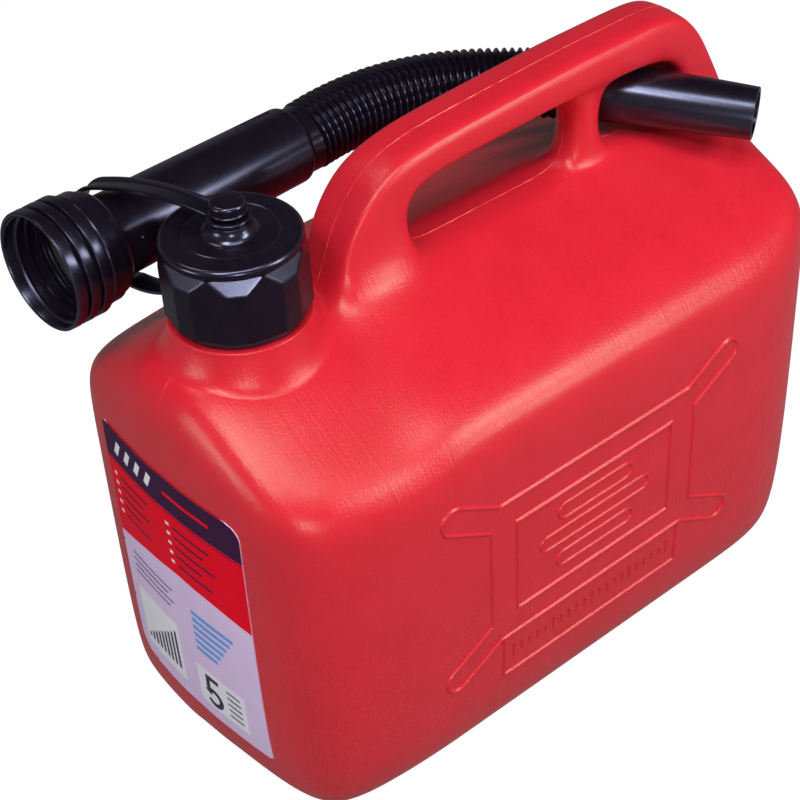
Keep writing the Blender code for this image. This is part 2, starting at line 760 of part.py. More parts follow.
def make_hose(finish):
    """Ribbed tube with a plain cuff at each end that sits straight in its socket."""
    bend = hose_line(HOSE_RIBS * 2)
    points = []
    radii = []
    start, end = bend[0], bend[-1]
    inward = -SPOUT_DIRECTION
    for point, radius in (
        (start + inward * HOSE_CUFF_LENGTH, HOSE_CUFF_RADIUS),
        (start + inward * CLEARANCE, HOSE_CUFF_RADIUS),
    ):
        points.append(point)
        radii.append(radius)
    for index, point in enumerate(bend):
        points.append(point)
        ribbed = (point - start).length > HOSE_COLLAR_LENGTH
        rib = HOSE_RIB_RADIUS if index % 2 else HOSE_CORE_RADIUS
        radii.append(rib if ribbed else HOSE_COLLAR_RADIUS)
    for point, radius in (
        (end + TIP_DIRECTION * CLEARANCE, HOSE_CUFF_RADIUS),
        (end + TIP_DIRECTION * HOSE_CUFF_LENGTH, HOSE_CUFF_RADIUS),
    ):
        points.append(point)
        radii.append(radius)
    gaps = [(b - a).length for a, b in zip(points, points[1:])]
    print("hose: length", round(sum(gaps), 4), "least step", round(min(gaps), 5))
    hose = add_object("flex_hose", tube("flex_hose", points, radii), finish)
    overrun = CUT_OVERRUN
    bore_line = [start + inward * (HOSE_CUFF_LENGTH + overrun)]
    bore_line += hose_line(HOSE_RIBS // 2)
    bore_line.append(end + TIP_DIRECTION * (HOSE_CUFF_LENGTH + overrun))
    bore = tube("hose_bore", bore_line, [HOSE_BORE_RADIUS] * len(bore_line))
    cut(hose, add_helper("hose_bore", bore))
    return hose


def main():
    for old in list(bpy.data.objects):
        bpy.data.objects.remove(old)
    red = material("red_plastic", (0.72, 0.022, 0.036), 0.42)
    black = material("black_plastic", (0.012, 0.011, 0.014), 0.36)
    rubber = material("seal_rubber", (0.03, 0.03, 0.03), 0.7)
    paper = material("label_paper", (0.46, 0.40, 0.55), 0.45)
    make_body(red)
    make_label(paper)
    make_cap(black)
    make_cap_seal(rubber)
    make_strap(black)
    make_collar(black)
    make_spout_seal(rubber)
    make_barrel(black)
    make_hose(black)
    make_tip(black)


main()
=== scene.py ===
"""The looks of a five litre fuel can with a stored pouring spout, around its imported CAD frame.

Lengths are metres. X runs along the can with the cap at -X, Y across it, Z up.
"""

from functools import partial
from math import atan2, ceil, copysign, cos, hypot, pi, radians, sin, sqrt

import bmesh
import bpy
from mathutils import Matrix, Vector, noise
from mathutils.bvhtree import BVHTree


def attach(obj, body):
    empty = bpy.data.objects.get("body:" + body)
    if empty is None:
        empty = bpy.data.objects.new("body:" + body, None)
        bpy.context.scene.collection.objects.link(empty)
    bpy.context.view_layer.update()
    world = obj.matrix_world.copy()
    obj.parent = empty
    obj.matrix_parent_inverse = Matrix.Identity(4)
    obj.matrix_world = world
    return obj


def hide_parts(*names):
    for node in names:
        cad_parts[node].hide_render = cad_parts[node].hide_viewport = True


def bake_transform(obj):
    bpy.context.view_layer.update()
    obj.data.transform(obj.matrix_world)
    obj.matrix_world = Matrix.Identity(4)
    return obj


# The photograph's camera
CAMERA_AZIMUTH = radians(-38.16)
CAMERA_ELEVATION = radians(39.14)
CAMERA_ROLL = radians(-3.55)
CAMERA_RIGHT = -0.02753
CAMERA_UP = 0.07448
CAMERA_DISTANCE = 0.78351
CAMERA_FOCAL_PIXELS = 1893.73
CAMERA_CENTRE_PIXELS = (400.64, 402.70)
PICTURE_PIXELS = 800
SENSOR_WIDTH = 36.0
CAMERA_CLIP = 0.01

# Can body, as in the CAD source
BODY_LENGTH = 0.265
BODY_WIDTH = 0.145
ROOF_HEIGHT = 0.180
# How far the shoulder and the crown of the roof lie below its height
FRONT_DROPS = (0.0315, 0.020)
MIDDLE_DROPS = (0.025, 0.015)
REAR_DROPS = (0.0215, 0.0095)
SPINE_DROP = 0.0008
SEAT_DROP = 0.006
BROW_DROP = 0.003
PLAN_RADIUS = 0.038
BASE_PULL = 0.0050
FRONT_BASE_PULLS = (0.0058, 0.0040)
SILL_HEIGHT = 0.031
FRONT_SILL_HEIGHTS = (0.031, 0.007)
WAIST_HEIGHT = 0.128
BODY_WALL = 0.002
HANDLE_RISE = 0.0495
HANDLE_WIDTH = 0.0240
POST_WIDTH = 0.0160
POST_LENGTH = 0.014
HOLE_REAR_REACH = 0.0211
HOLE_FLOOR_RISE = 0.0025
POST_SHARE = 0.4566
SEAT_HALF_WIDTH = 0.030
# The cage's columns along the can. None is set by the post or by the parked tip.
COLUMN_SHARES = (-1, -0.834, -0.56, -0.46, -0.204, -0.06, 0.27, None, None, None, None, 1)
CROWN_SHARE = 0.69
HANDLE_CORNER_SHARE = 0.76
SEAT_INNER_SHARE = 0.4
SEAT_COLUMNS = (1, 2)
ROOT_FRONT, POST_FRONT, POST_REAR, HOLE_MIDDLE, LEG_FRONT, REAR = 3, 7, 8, 9, 10, 11
BASE, SILL, WAIST, ROOF, UNDER, TOP = range(6)
LAYERS = 7
INNERMOST = LAYERS // 2
# The handle's cage from the column ROOT_FRONT on, as (share of the can's half length, share of
# the handle's rise). None keeps the column's own place.
UNDER_SHARES = (
    (-0.420, 0.44),
    (-0.236, 0.56),
    (-0.090, 0.62),
    (0.270, 0.64),
    (None, 0.64),
    (None, 0.63),
    (None, 0.61),
    (None, 0.53),
    (0.915, 0.36),
)
TOP_SHARES = (
    (-0.300, 0.795),
    (-0.180, 0.880),
    (-0.060, 0.910),
    (0.270, 0.945),
    (None, 0.958),
    (None, 0.957),
    (0.640, 0.962),
    (0.775, 0.955),
    (0.852, 0.735),
)
SHELL_LEVELS = 4
LINING_LEVELS = 2
PARTING_RADIUS = 0.00025
PARTING_UNEVENNESS = 1.6
PARTING_SCALE = 260
PARTING_LOW = 0.002
FRONT_PARTING_LOW = 0.164
FRONT_PARTING_REACH = -0.110
PARTING_SIDES = 6
IN_PLANE = 1e-6

# Neck
NECK_X = 0.0392 - BODY_LENGTH / 2
NECK_TOP = ROOF_HEIGHT + 0.0349
NECK_RADIUS = 0.0183
NECK_BORE_RADIUS = 0.0160
NECK_FOOT = 0.0130
SEAT_TOP = ROOF_HEIGHT + 0.0085
SEAT_RADIUS = 0.0243
SEAT_ROUNDING = 0.0008
SEAT_SKIRT = 0.0068
SEAT_SINK = 0.0001
SEAT_CURVE_POWER = 3.0
SEAT_STEPS = 14
THREAD_HEIGHT = 0.0011
THREAD_HALF = 0.0009
THREAD_CREST_SHARE = 0.35
THREAD_PITCH = 0.0040
THREAD_STEPS = 64
THREAD_FADE_STEPS = 16
NECK_THREAD_TURNS = 3

# Moulded lines on both long sides
EMBOSS_SIDE = 0.0505
EMBOSS_MIDDLE = 0.0870
EMBOSS_HALF_HEIGHT = 0.0325
ARM_PLACE = (0.0669, 0.0384)
ARM_RADIUS = 0.00525
ARM_TILT = radians(30)
ARM_STEPS = 12
PANEL_HALF = (0.0384, 0.02115)
STRIP_HALF_LENGTH = 0.0448
STRIP_LOW = 0.0345
BEAD_HALF_WIDTH = 0.00095
BEAD_HEIGHT = 0.00075
BEAD_SINK = 0.00006
BEAD_STEP = 0.0016
BEAD_SHARES = (-1, -0.72, -0.45, -0.2, 0, 0.2, 0.45, 0.72, 1)
# The pills' and pips' bead, as shares of the width and height
FINE_BEAD = (0.6, 0.75)
# Raised pills in the moulded panel, as (height above its middle, half length, radius)
PILL_ROWS = ((0.0118, 0.0150, 0.0034), (0.0008, 0.0240, 0.0032), (-0.0108, 0.0160, 0.0032))
PILL_STEPS = 8
PIP_COUNT = 21
PIP_GROUP = 5
PIP_REACH = 0.0400
PIP_MIDDLE = 0.0443
PIP_HALF = 0.0030

# Cap
CLEARANCE = 0.0003
RING_BOTTOM = SEAT_TOP + CLEARANCE
RING_HEIGHT = 0.0024
CAP_SIDES = 8
CAP_FLAT_RADIUS = 0.0239
CAP_CORNER_RADIUS = 0.02436
CAP_CORNER_SOFTNESS = 260
CAP_TURNED_BY = radians(11)
CAP_BOTTOM = RING_BOTTOM + RING_HEIGHT + 2 * CLEARANCE
CAP_TOP = CAP_BOTTOM + 0.0278
CAP_CEILING = CAP_TOP - 0.0026
CAP_DISC_RADIUS = 0.02365
CAP_LEDGE = 0.0037
BEVEL_HEIGHT = 0.0052
BEVEL_DEPTH = 0.0023
BEVEL_UPWARD = 0.2
DISC_ROUNDING = 0.0018
CAP_BORE_RADIUS = 0.0206
CAP_BORE_ROUNDING = 0.0008
CAP_RIM_ROUNDING = 0.0006
CAP_RIM_STEPS = 4
CAP_STEPS = 288
SKIRT_STEPS = 48
DISC_RING_RADIUS = 0.01585
DISC_RING_DEPTH = 0.00025
DISC_RING_HALF = 0.0004
BOSS_RADIUS = 0.0088
BOSS_TOP = CAP_TOP + 0.0042
STEM_RADIUS = 0.0040
STEM_TOP = BOSS_TOP + 0.0030
KNOB_RADIUS = 0.0060
KNOB_TOP = STEM_TOP + 0.0046
KNOB_ROUNDING = 0.0013
KNOB_CROWN = 0.0002
CAP_TOP_ROUNDING = 0.00022
# Curves on the cap's top, as (out from a radius, up from a height): the disc's edge above the
# ledge, the boss above the disc, the washer round the boss's top, the knob's foot and its middle
DISC_EDGE = ((-0.0006, 0), (-0.0006, 0.0002), (0, 0.0006))
BOSS_CURVE = ((0.0010, 0), (0.0002, 0.0003), (-0.0006, 0.0011), (-0.0013, 0.0022), (-0.0018, 0.0034))
WASHER_CURVE = ((0.0030, -0.0008), (0.0030, -0.0002), (0.0024, 0), (0, 0))
KNOB_FOOT = ((0.0002, 0), (0.0002, 0.0006), (-0.0001, 0.0008))
KNOB_MIDDLE = ((0.0024, -0.00004), (0.0001, 0))

# Strap
STRAP_THICKNESS = 0.0015
STRAP_WIDTH = 0.0080
STRAP_BORDER = 0.0014
# One edge of the strap's section, as (share of the border inwards, share of the half thickness)
STRAP_EDGE = ((0.3, -1), (0, -0.7), (0, 0.7), (0.3, 1), (0.7, 1), (1, -0.15))
EYE_RIM = 0.0032
EYE_ROUNDING = 0.0005
RING_RIM = 0.0040
RING_ROUNDING = 0.0006
STRAP_ARC_STEPS = 40
STRAP_BOW = 0.0030
STRAP_SAG = 0.0024
STRAP_BOW_STEPS = 20
STRAP_COLLAR_GAP = 0.0030
STRAP_SLACK = 0.0027

# Spout
SPOUT_OFFSET = 0.050
SPOUT_HEIGHT = ROOF_HEIGHT + 0.0195
SPOUT_TURN = radians(4.0)
SPOUT_FALL = radians(1.1)
SPOUT_LENGTH = 0.1115
COLLAR_RADIUS = 0.0216
COLLAR_LENGTH = 0.0260
COLLAR_OVERHANG = 0.0049
COLLAR_THREAD_RADIUS = 0.0200
COLLAR_THREAD_HEIGHT = 0.0009
COLLAR_THREAD_TURNS = 4
COLLAR_THREAD_START = 0.0012
COLLAR_MOUTH_BEVEL = (0.0004, 0.0008)
COLLAR_ROUNDING = 0.00028
COLLAR_RINGS = 3
COLLAR_RING_WIDTH = 0.0052
# Curves on the collar, as (out from its radius, along): one grip ring, and the hub behind them
COLLAR_RING_CURVE = ((-0.0001, 0.0003), (0, 0.0039), (-0.0017, 0.0041), (-0.0017, 0.0051))
COLLAR_HUB_CURVE = ((-0.0012, 0.0004), (-0.0019, 0.0050), (-0.0027, 0.0056), (-0.0028, 0.0086))
COLLAR_REAR_INSET = 0.0042
COLLAR_LIP = 0.0045
FLANGE_THICKNESS = 0.0025
BARREL_RADIUS = 0.0149
BARREL_END_RADIUS = 0.0143
BARREL_BORE_RADIUS = 0.0125
BARREL_END_BEVEL = (0.0014, 0.0016)
BARREL_BORE_STEP = 0.0020
BARREL_ROUNDING = 0.0012
# Ridges along the barrel, as (angle, start, end, radius)
BARREL_RIDGES = (
    (radians(73), 0.036, 0.1085, 0.0003),
    (radians(253), 0.036, 0.1085, 0.0003),
    (radians(342), 0.090, 0.1060, 0.0006),
)
RIDGE_STEPS = 40
RIDGE_SIDES = 10
RIDGE_END_POWER = 24
RIDGE_END_SHARE = 0.02
NUB_PLACE = (0.033, radians(73))
NUB_RADIUS = 0.0008
NUB_STEPS = 8
NUB_SIDES = 16
HOSE_RIB_RADIUS = 0.0132
HOSE_CORE_RADIUS = 0.0116
HOSE_CUFF_RADIUS = 0.0100
HOSE_BORE_RADIUS = 0.0085
HOSE_CUFF_LENGTH = 0.0240
HOSE_COLLAR_RADIUS = 0.0126
HOSE_COLLAR_LENGTH = 0.0050
HOSE_END_LENGTH = 0.0040
HOSE_RIBS = 38
HOSE_RIB_STEPS = 8
HOSE_RIB_POWER = 3
HOSE_START_PULL = 0.050
HOSE_END_PULL = 0.020
HOSE_START_LIFT = 0.0065
HOSE_END_SAG = 0.0050
HOSE_FINE_STEPS = 2000
TIP_LENGTH = 0.0720
TIP_REAR_RADIUS = 0.0120
TIP_END_RADIUS = 0.0098
TIP_WALL = 0.0016
TIP_ROUNDING = 0.0003
TIP_HEADING = radians(57.9)
TIP_FALL = radians(2.6)
TIP_RISE = 0.0160
TIP_REACH = 0.0488
PARK_GAP = 0.0014
ROUND_SIDES = 96
HOSE_SIDES = 56
SHARP_ANGLE = radians(32)
WELD = 1e-6
PRINT_WELD = 1e-7
LEAST = 0.00001
# The most of a side that the rounding of a corner takes
CORNER_REACH = 0.45

# Label, measured from its left edge as seen from the front
LABEL_LOW = 0.0260
LABEL_HIGH = 0.1395
LABEL_WIDTH = 0.0792
LABEL_UPPER_CORNERS = (0.0010, 0.0060)
LABEL_LOWER_CORNERS = (0.0090, 0.0015)
LABEL_LIFT = 0.00012
LABEL_THICKNESS = 0.00028
PRINT_LIFT = 0.00003
LABEL_STEP = 0.0015
LABEL_ROWS = 76
LABEL_RIM_STEPS = 120
PAPER, NAVY, RED_INK, PALE, DARK, BLUE = range(6)
NAVY_LOW = 0.1245
NAVY_ROWS = 30
# The thin rule under the dark band, as (inset at its ends, distance below, width)
NAVY_RULE = (0.0008, 0.0009, 0.0005)
RED_EDGE = 0.0880
RED_SWELL = 0.0035
RED_BULGE = 1.2
RED_ROWS = 24
PANEL_PLACES = ((0.0060, 0.0340, 0.0330, 0.0640), (0.0420, 0.0320, 0.0690, 0.0520))
PANEL_ROWS = 16
# Rules on the red, as (left edge, lengths from the top down)
RULES = (
    (0.0080, (0.019, 0.015, 0.018, 0.012, 0.017)),
    (0.0420, (0.020, 0.016, 0.022, 0.014, 0.019)),
)
RULE_HIGH = 0.1180
RULE_STEP = 0.0045
RULE_WIDTH = 0.0010
# Rows of like bars, as (first start, first end, step of starts, step of ends, count, width, ink):
# slanted and long bars on the dark band, dots beside the rules, lines under the red, growing bars
# in the left panel, the blue scale, and lines in the right panel
BARS = (
    ((0.0080, 0.1290), (0.0110, 0.1352), (0.0068, 0), (0.0068, 0), 4, 0.0026, PALE),
    ((0.0390, 0.1322), (0.0640, 0.1322), (0, 0), (0, 0), 1, 0.0016, RED_INK),
    ((0.0038, 0.1180), (0.0058, 0.1180), (0, -0.0045), (0, -0.0045), 5, 0.0014, PALE),
    ((0.0378, 0.1180), (0.0398, 0.1180), (0, -0.0045), (0, -0.0045), 5, 0.0014, PALE),
    ((0.0070, 0.0820), (0.0340, 0.0820), (0, -0.0064), (0, -0.0064), 2, 0.0007, DARK),
    ((0.0070, 0.0788), (0.0310, 0.0788), (0, -0.0064), (0, -0.0064), 2, 0.0007, DARK),
    ((0.0085, 0.0385), (0.0085, 0.0407), (0.0027, 0), (0.0027, 0.0022), 9, 0.0014, DARK),
    ((0.0450, 0.0800), (0.0680, 0.0800), (0, -0.0036), (-0.0022, -0.0036), 6, 0.0020, BLUE),
    ((0.0590, 0.0485), (0.0665, 0.0485), (0, -0.0032), (0, -0.0032), 5, 0.0009, DARK),
)
FIVE_PLACE = (0.0475, 0.0345)
FIVE_SIZE = (0.0070, 0.0140)
FIVE_STROKE = 0.0023
# The numeral's bowl and its stem's ends, as shares of its width and of the bowl, then the bowl's
# first angle and its sweep
FIVE_BOWL_SHARE = 0.55
FIVE_STEM_TOP = 0.12
FIVE_STEM_FOOT = (0.05, 0.62)
FIVE_TURN = (radians(140), radians(-290))
FIVE_STEPS = 16

# Finishes
NOISE_ROUGHNESS = 0.55
RED_PLAIN = (0.72, 0.022, 0.036)
RED_PLAIN_ROUGHNESS = 0.42
# The red's mottle, grain, specks, wear and drawn streaks, as features in a metre
RED_SCALES = (60, 1500, 1200, 220, 900)
STREAK_STRETCH = (1, 0.02, 0.02)
RED_RANGE = ((0.70, 0.0145, 0.030), (0.75, 0.0170, 0.037))
RED_SPECK = (0.86, 0.075, 0.060)
RED_ROUGHNESS = (0.28, 0.33)
RED_SPECULAR = 0.52
RED_TINT = (0.7, 1, 0.76)
RED_STREAK_DEPTH = 0.00008
RED_GRAIN_DEPTH = 0.00010
SPECK_RANGE = (0.56, 0.76)
# The specks' share low and high on the can, and the heights where it gets there
SPECK_SHARES = (1, 0.25)
SPECK_HEIGHTS = (0.03, 0.14)
BLACK_PLAIN = (0.008, 0.0045, 0.009)
BLACK_RANGE = ((0.0062, 0.0034, 0.0072), (0.0098, 0.0056, 0.0108))
BLACK_TINT = (0.66, 0.69, 1)
BLACK_WEAR = 0.02
# The black's clouds, wear and grain, as features in a metre
BLACK_SCALES = (160, 420, 1300)
# Black finishes, as (name, roughness, grain depth, specular)
BLACKS = (
    ("black_gloss", 0.25, 0.000006, 0.8),
    ("black_hose", 0.20, 0.000006, 0.5),
    ("black_tip", 0.23, 0.000003, 1),
    ("black_satin", 0.23, 0.000006, 1),
    ("black_grained", 0.33, 0.00007, 0.2),
)
# Rubber, as (plain colour, roughness, shades, features of clouds and grain in a metre, grain depth)
RUBBER = (
    (0.03, 0.03, 0.03),
    0.7,
    ((0.022, 0.022, 0.023), (0.038, 0.038, 0.038)),
    (300, 2200),
    0.00006,
)
PRINT_SCALES = (90, 1800)
PRINT_ROUGHNESS = 0.4
PRINT_SHADES = (0.93, 1.05)
PRINT_SPECULAR = 0.04
PRINT_GRAIN_DEPTH = 0.00003
# The label's inks, in the order of PAPER to BLUE
INKS = (
    ("label_film", (0.86, 0.66, 0.91)),
    ("label_navy", (0.050, 0.012, 0.050)),
    ("label_red", (0.98, 0.003, 0.022)),
    ("label_pale", (0.96, 0.93, 0.96)),
    ("label_dark", (0.06, 0.04, 0.09)),
    ("label_blue", (0.18, 0.42, 0.86)),
)

# Stage
FLOOR_REACH = 6
FLOOR_COLOUR = (0.16, 0.16, 0.165)
FLOOR_ROUGHNESS = 0.9
FLOOR_GLOW = 0.95
GLOSS_SHARE = 0.12
WORLD_DIM = (0.02, 0.02, 0.024)
WORLD_BRIGHT = (0.070, 0.070, 0.078)
WORLD_TOWARD = (-0.55, -0.75, 0.35)
WORLD_SPREAD = (-0.3, 1)
WALL_TOPS = (0.30, 0.55)
WHITE = (1, 1, 1)
LAMP_COLOUR = (0.93, 0.95, 1.0)
# Lamps, as (name, direction from the can's middle, distance, size, strength at the can)
LAMPS = (
    ("overhead", (-0.18, -0.34, 0.92), 0.98, (0.62, 0.17), 0.35),
    ("shoulder", (0.31, -0.72, 0.62), 1.0, (0.22, 0.18), 0.21),
    ("side", (0.46, -0.717, 0.523), 0.93, (0.16, 0.12), 0.15),
    ("side_low", (0.46, -0.85, 0.24), 1.0, (0.22, 0.14), 0.18),
    ("front_low", (-0.54, -0.80, 0.28), 1.08, (0.20, 0.16), 0.19),
    ("left", (-0.96, 0.16, 0.16), 1.2, (0.36, 0.24), 0.17),
    ("spout_end", (-0.54, -0.25, 0.80), 1.13, (0.30, 0.15), 0.26),
    ("back_top", (-0.25, 0.38, 0.89), 1.2, (0.25, 0.25), 0.08),
)

HALF_LENGTH = BODY_LENGTH / 2
HALF_WIDTH = BODY_WIDTH / 2
POST_CENTRE = HALF_LENGTH * POST_SHARE
MOUTH_CENTRE = Vector((-HALF_LENGTH - COLLAR_OVERHANG, SPOUT_OFFSET, SPOUT_HEIGHT))
NECK_PLACE = Matrix.Translation((NECK_X, 0, 0))


def heading(turn, fall):
    return Vector((cos(turn) * cos(fall), sin(turn) * cos(fall), -sin(fall)))


SPOUT_DIRECTION = heading(SPOUT_TURN, SPOUT_FALL)
TIP_DIRECTION = heading(-TIP_HEADING, TIP_FALL)
FLANGE_REAR = COLLAR_LENGTH - COLLAR_LIP - CLEARANCE
FLANGE_FRONT = FLANGE_REAR - FLANGE_THICKNESS
FLANGE_RADIUS = 0.0192 - CLEARANCE
SOCKET_RADIUS = HOSE_CUFF_RADIUS + CLEARANCE
SOCKET_DEPTH = HOSE_CUFF_LENGTH + CLEARANCE
TIP_BORE_RADIUS = TIP_END_RADIUS - TIP_WALL
POST_REACH = hypot(
    POST_LENGTH / 2 * sin(TIP_HEADING), POST_WIDTH / 2 * cos(TIP_HEADING)
)
PARK_X = POST_CENTRE + (POST_REACH + TIP_REAR_RADIUS + PARK_GAP) / sin(TIP_HEADING)
TIP_END = Vector((PARK_X, 0, ROOF_HEIGHT + TIP_RISE)) + TIP_DIRECTION * TIP_REACH
TIP_START = TIP_END - TIP_DIRECTION * TIP_LENGTH


# Meshes


def grid(parts, rows, wrap=False, wrap_rows=False, finish=0):
    """Adds quads between rows of equally many points to parts, a pair of lists."""
    points, faces = parts
    first = len(points)
    width = len(rows[0])
    for row in rows:
        points.extend(tuple(point) for point in row)
    following = len(rows) if wrap_rows else len(rows) - 1
    across = width if wrap else width - 1
    for r in range(following):
        near = first + r * width
        far = first + (r + 1) % len(rows) * width
        for c in range(across):
            d = (c + 1) % width
            faces.append(((near + c, near + d, far + d, far + c), finish))


def fan(parts, ring):
    """Closes a ring of points with one face."""
    points, faces = parts
    first = len(points)
    points.extend(tuple(point) for point in ring)
    faces.append((tuple(range(first, first + len(ring))), 0))


def add_object(name, data):
    made = bpy.data.objects.new(name, data)
    bpy.context.scene.collection.objects.link(made)
    return made


def fill_mesh(mesh, built):
    bmesh.ops.recalc_face_normals(built, faces=built.faces)
    built.to_mesh(mesh)
    built.free()


def add_piece(name, parts, materials, weld=WELD):
    points, faces = parts
    mesh = bpy.data.meshes.new(name)
    mesh.from_pydata(points, [], [corners for corners, _ in faces])
    for polygon, (_, finish) in zip(mesh.polygons, faces):
        polygon.material_index = finish
    built = bmesh.new()
    built.from_mesh(mesh)
    bmesh.ops.remove_doubles(built, verts=built.verts, dist=weld)
    fill_mesh(mesh, built)
    for made in materials:
        mesh.materials.append(made)
    mesh.shade_smooth()
    mesh.set_sharp_from_angle(angle=SHARP_ANGLE)
    return add_object(name, mesh)


def along(point, direction):
    """The placing that turns Z into a direction, at a point."""
    turn = Vector(direction).to_track_quat("Z", "Y").to_matrix().to_4x4()
    return Matrix.Translation(point) @ turn


def circle(radius, height, sides, place):
    turns = [2 * pi * step / sides for step in range(sides)]
    return [place @ Vector((radius * cos(t), radius * sin(t), height)) for t in turns]


def turned(parts, profile, place, sides=ROUND_SIDES):
    """Turns (radius, height) points round Z and sets the skin at a place."""
    grid(parts, [circle(radius, height, sides, place) for radius, height in profile], wrap=True)


def beside(radius, height, curve):
    """The (radius, height) points of a curve of (out, up) pairs."""
    return [(radius + across, height + up) for across, up in curve]


def hoop(inner, outer, low, high, rounding):
    """A rounded rectangle turned round Z, from the middle of its inner side round to it."""
    middle = (low + high) / 2
    corners = [(inner, middle), (inner, low), (outer, low), (outer, high), (inner, high), (inner, middle)]
    return rounded(corners, rounding)


def rounded(profile, radius, steps=5):
    """A (radius, height) profile with each inner corner replaced by a short curve."""
    made = [profile[0]]
    for before, corner, after in zip(profile, profile[1:], profile[2:]):
        here = Vector(corner)
        back = Vector(before) - here
        ahead = Vector(after) - here
        reach = min(radius, back.length * CORNER_REACH, ahead.length * CORNER_REACH)
        start = here + back.normalized() * reach
        end = here + ahead.normalized() * reach
        for step in range(steps + 1):
            t = step / steps
            made.append(tuple(start * (1 - t) ** 2 + here * 2 * t * (1 - t) + end * t * t))
    made.append(profile[-1])
    return made


def arc(radius, height, rounding, steps=7):
    """A quarter curve from an upright side in to a flat top, as (radius, height) points."""
    turns = [pi / 2 * step / steps for step in range(steps + 1)]
    return [
        (radius - rounding * (1 - cos(t)), height - rounding * (1 - sin(t))) for t in turns
    ]


# The can's shell


def column_places():
    places = [HALF_LENGTH * share if share is not None else None for share in COLUMN_SHARES]
    places[POST_FRONT] = POST_CENTRE - POST_LENGTH / 2
    places[POST_REAR] = POST_CENTRE + POST_LENGTH / 2
    places[HOLE_MIDDLE] = PARK_X
    places[LEG_FRONT] = PARK_X + HOLE_REAR_REACH
    return places


def plan_rounded(point, inset):
    """Moves a point of the outer outline onto a rounded rectangle in plan."""
    reach_x = HALF_LENGTH - PLAN_RADIUS
    reach_y = HALF_WIDTH - PLAN_RADIUS
    core = Vector((max(-reach_x, min(reach_x, point.x)), max(-reach_y, min(reach_y, point.y)), 0))
    outward = Vector((point.x, point.y, 0)) - core
    moved = core + outward.normalized() * (PLAN_RADIUS - inset)
    return Vector((moved.x, moved.y, point.z))


def handle_point(column, side, inner, row, columns):
    """A corner of the handle's cage. The outer corners lie nearer its middle than the inner ones."""
    share_x, share_z = (UNDER_SHARES if row == UNDER else TOP_SHARES)[column - ROOT_FRONT]
    other_z = (TOP_SHARES if row == UNDER else UNDER_SHARES)[column - ROOT_FRONT][1]
    if not inner:
        middle = (share_z + other_z) / 2
        share_z = middle + (share_z - middle) * HANDLE_CORNER_SHARE
    x = columns[column] if share_x is None else HALF_LENGTH * share_x
    across = POST_WIDTH / 2 if inner else HANDLE_WIDTH / 2
    return Vector((x, side * across, ROOF_HEIGHT + HANDLE_RISE * share_z))


def cage_point(column, layer, row, columns):
    """One corner of the body's cage. Layers run 0 to 7 across Y."""
    side = -1 if layer <= INNERMOST else 1
    depth = min(layer, LAYERS - layer)
    if row in (UNDER, TOP):
        return handle_point(column, side, depth == INNERMOST, row, columns)
    seat = column in SEAT_COLUMNS
    drops = FRONT_DROPS if column < ROOT_FRONT else MIDDLE_DROPS
    if column == REAR:
        drops = REAR_DROPS
    across = (
        HALF_WIDTH,
        HALF_WIDTH * CROWN_SHARE,
        SEAT_HALF_WIDTH if seat else HANDLE_WIDTH / 2,
        SEAT_HALF_WIDTH * SEAT_INNER_SHARE if seat else POST_WIDTH / 2,
    )[depth]
    drop = (*drops, SEAT_DROP if seat else SPINE_DROP, 0)[depth]
    if column == 0:
        drop += BROW_DROP
    if depth > 1 and column == HOLE_MIDDLE:
        drop -= HOLE_FLOOR_RISE
    sill, pull = SILL_HEIGHT, BASE_PULL
    if column == 0:
        sill, pull = (
            near + (far - near) * layer / LAYERS
            for near, far in (FRONT_SILL_HEIGHTS, FRONT_BASE_PULLS)
        )
    height = (0, sill, WAIST_HEIGHT, ROOF_HEIGHT - drop)[row]
    outer = depth == 0 or column in (0, REAR)
    if row == BASE and outer:
        height = pull
    point = Vector((columns[column], side * across, height))
    if not outer:
        return point
    return plan_rounded(point, pull if row == BASE else 0)


def filled(column, layer, row):
    if not (0 <= column < REAR and 0 <= layer < LAYERS and 0 <= row < TOP):
        return False
    if row < ROOF:
        return True
    if abs(layer - INNERMOST) > 1 or column < ROOT_FRONT:
        return False
    if row == UNDER or column in (ROOT_FRONT, LEG_FRONT):
        return True
    return column == POST_FRONT and layer == INNERMOST


def cage_mesh(name):
    """The outer faces of the filled cells, as one closed cage."""
    columns = column_places()
    built = bmesh.new()
    corners = {}

    def corner(key):
        if key not in corners:
            corners[key] = built.verts.new(cage_point(*key, columns))
        return corners[key]

    sides = ((0, 1, 2), (1, 2, 0), (2, 0, 1))
    for cell in [(c, l, r) for c in range(REAR) for l in range(LAYERS) for r in range(TOP)]:
        if not filled(*cell):
            continue
        for axis, first, second in sides:
            for step in (0, 1):
                beyond = list(cell)
                beyond[axis] += 2 * step - 1
                if filled(*beyond):
                    continue
                loop = []
                for a, b in ((0, 0), (1, 0), (1, 1), (0, 1)):
                    key = list(cell)
                    key[axis] += step
                    key[first] += a
                    key[second] += b
                    loop.append(corner(tuple(key)))
                built.faces.new(loop if step else loop[::-1])
    mesh = bpy.data.meshes.new(name)
    fill_mesh(mesh, built)
    return mesh


def smooth_skin(levels):
    """The cage, subdivided, as a bmesh."""
    guide = add_object("guide", cage_mesh("guide"))
    rounding = guide.modifiers.new("Rounding", "SUBSURF")
    rounding.levels = levels
    rounding.render_levels = levels
    bpy.context.view_layer.update()
    shown = guide.evaluated_get(bpy.context.evaluated_depsgraph_get())
    mesh = bpy.data.meshes.new_from_object(shown)
    bpy.data.objects.remove(guide)
    skin = bmesh.new()
    skin.from_mesh(mesh)
    bpy.data.meshes.remove(mesh)
    return skin


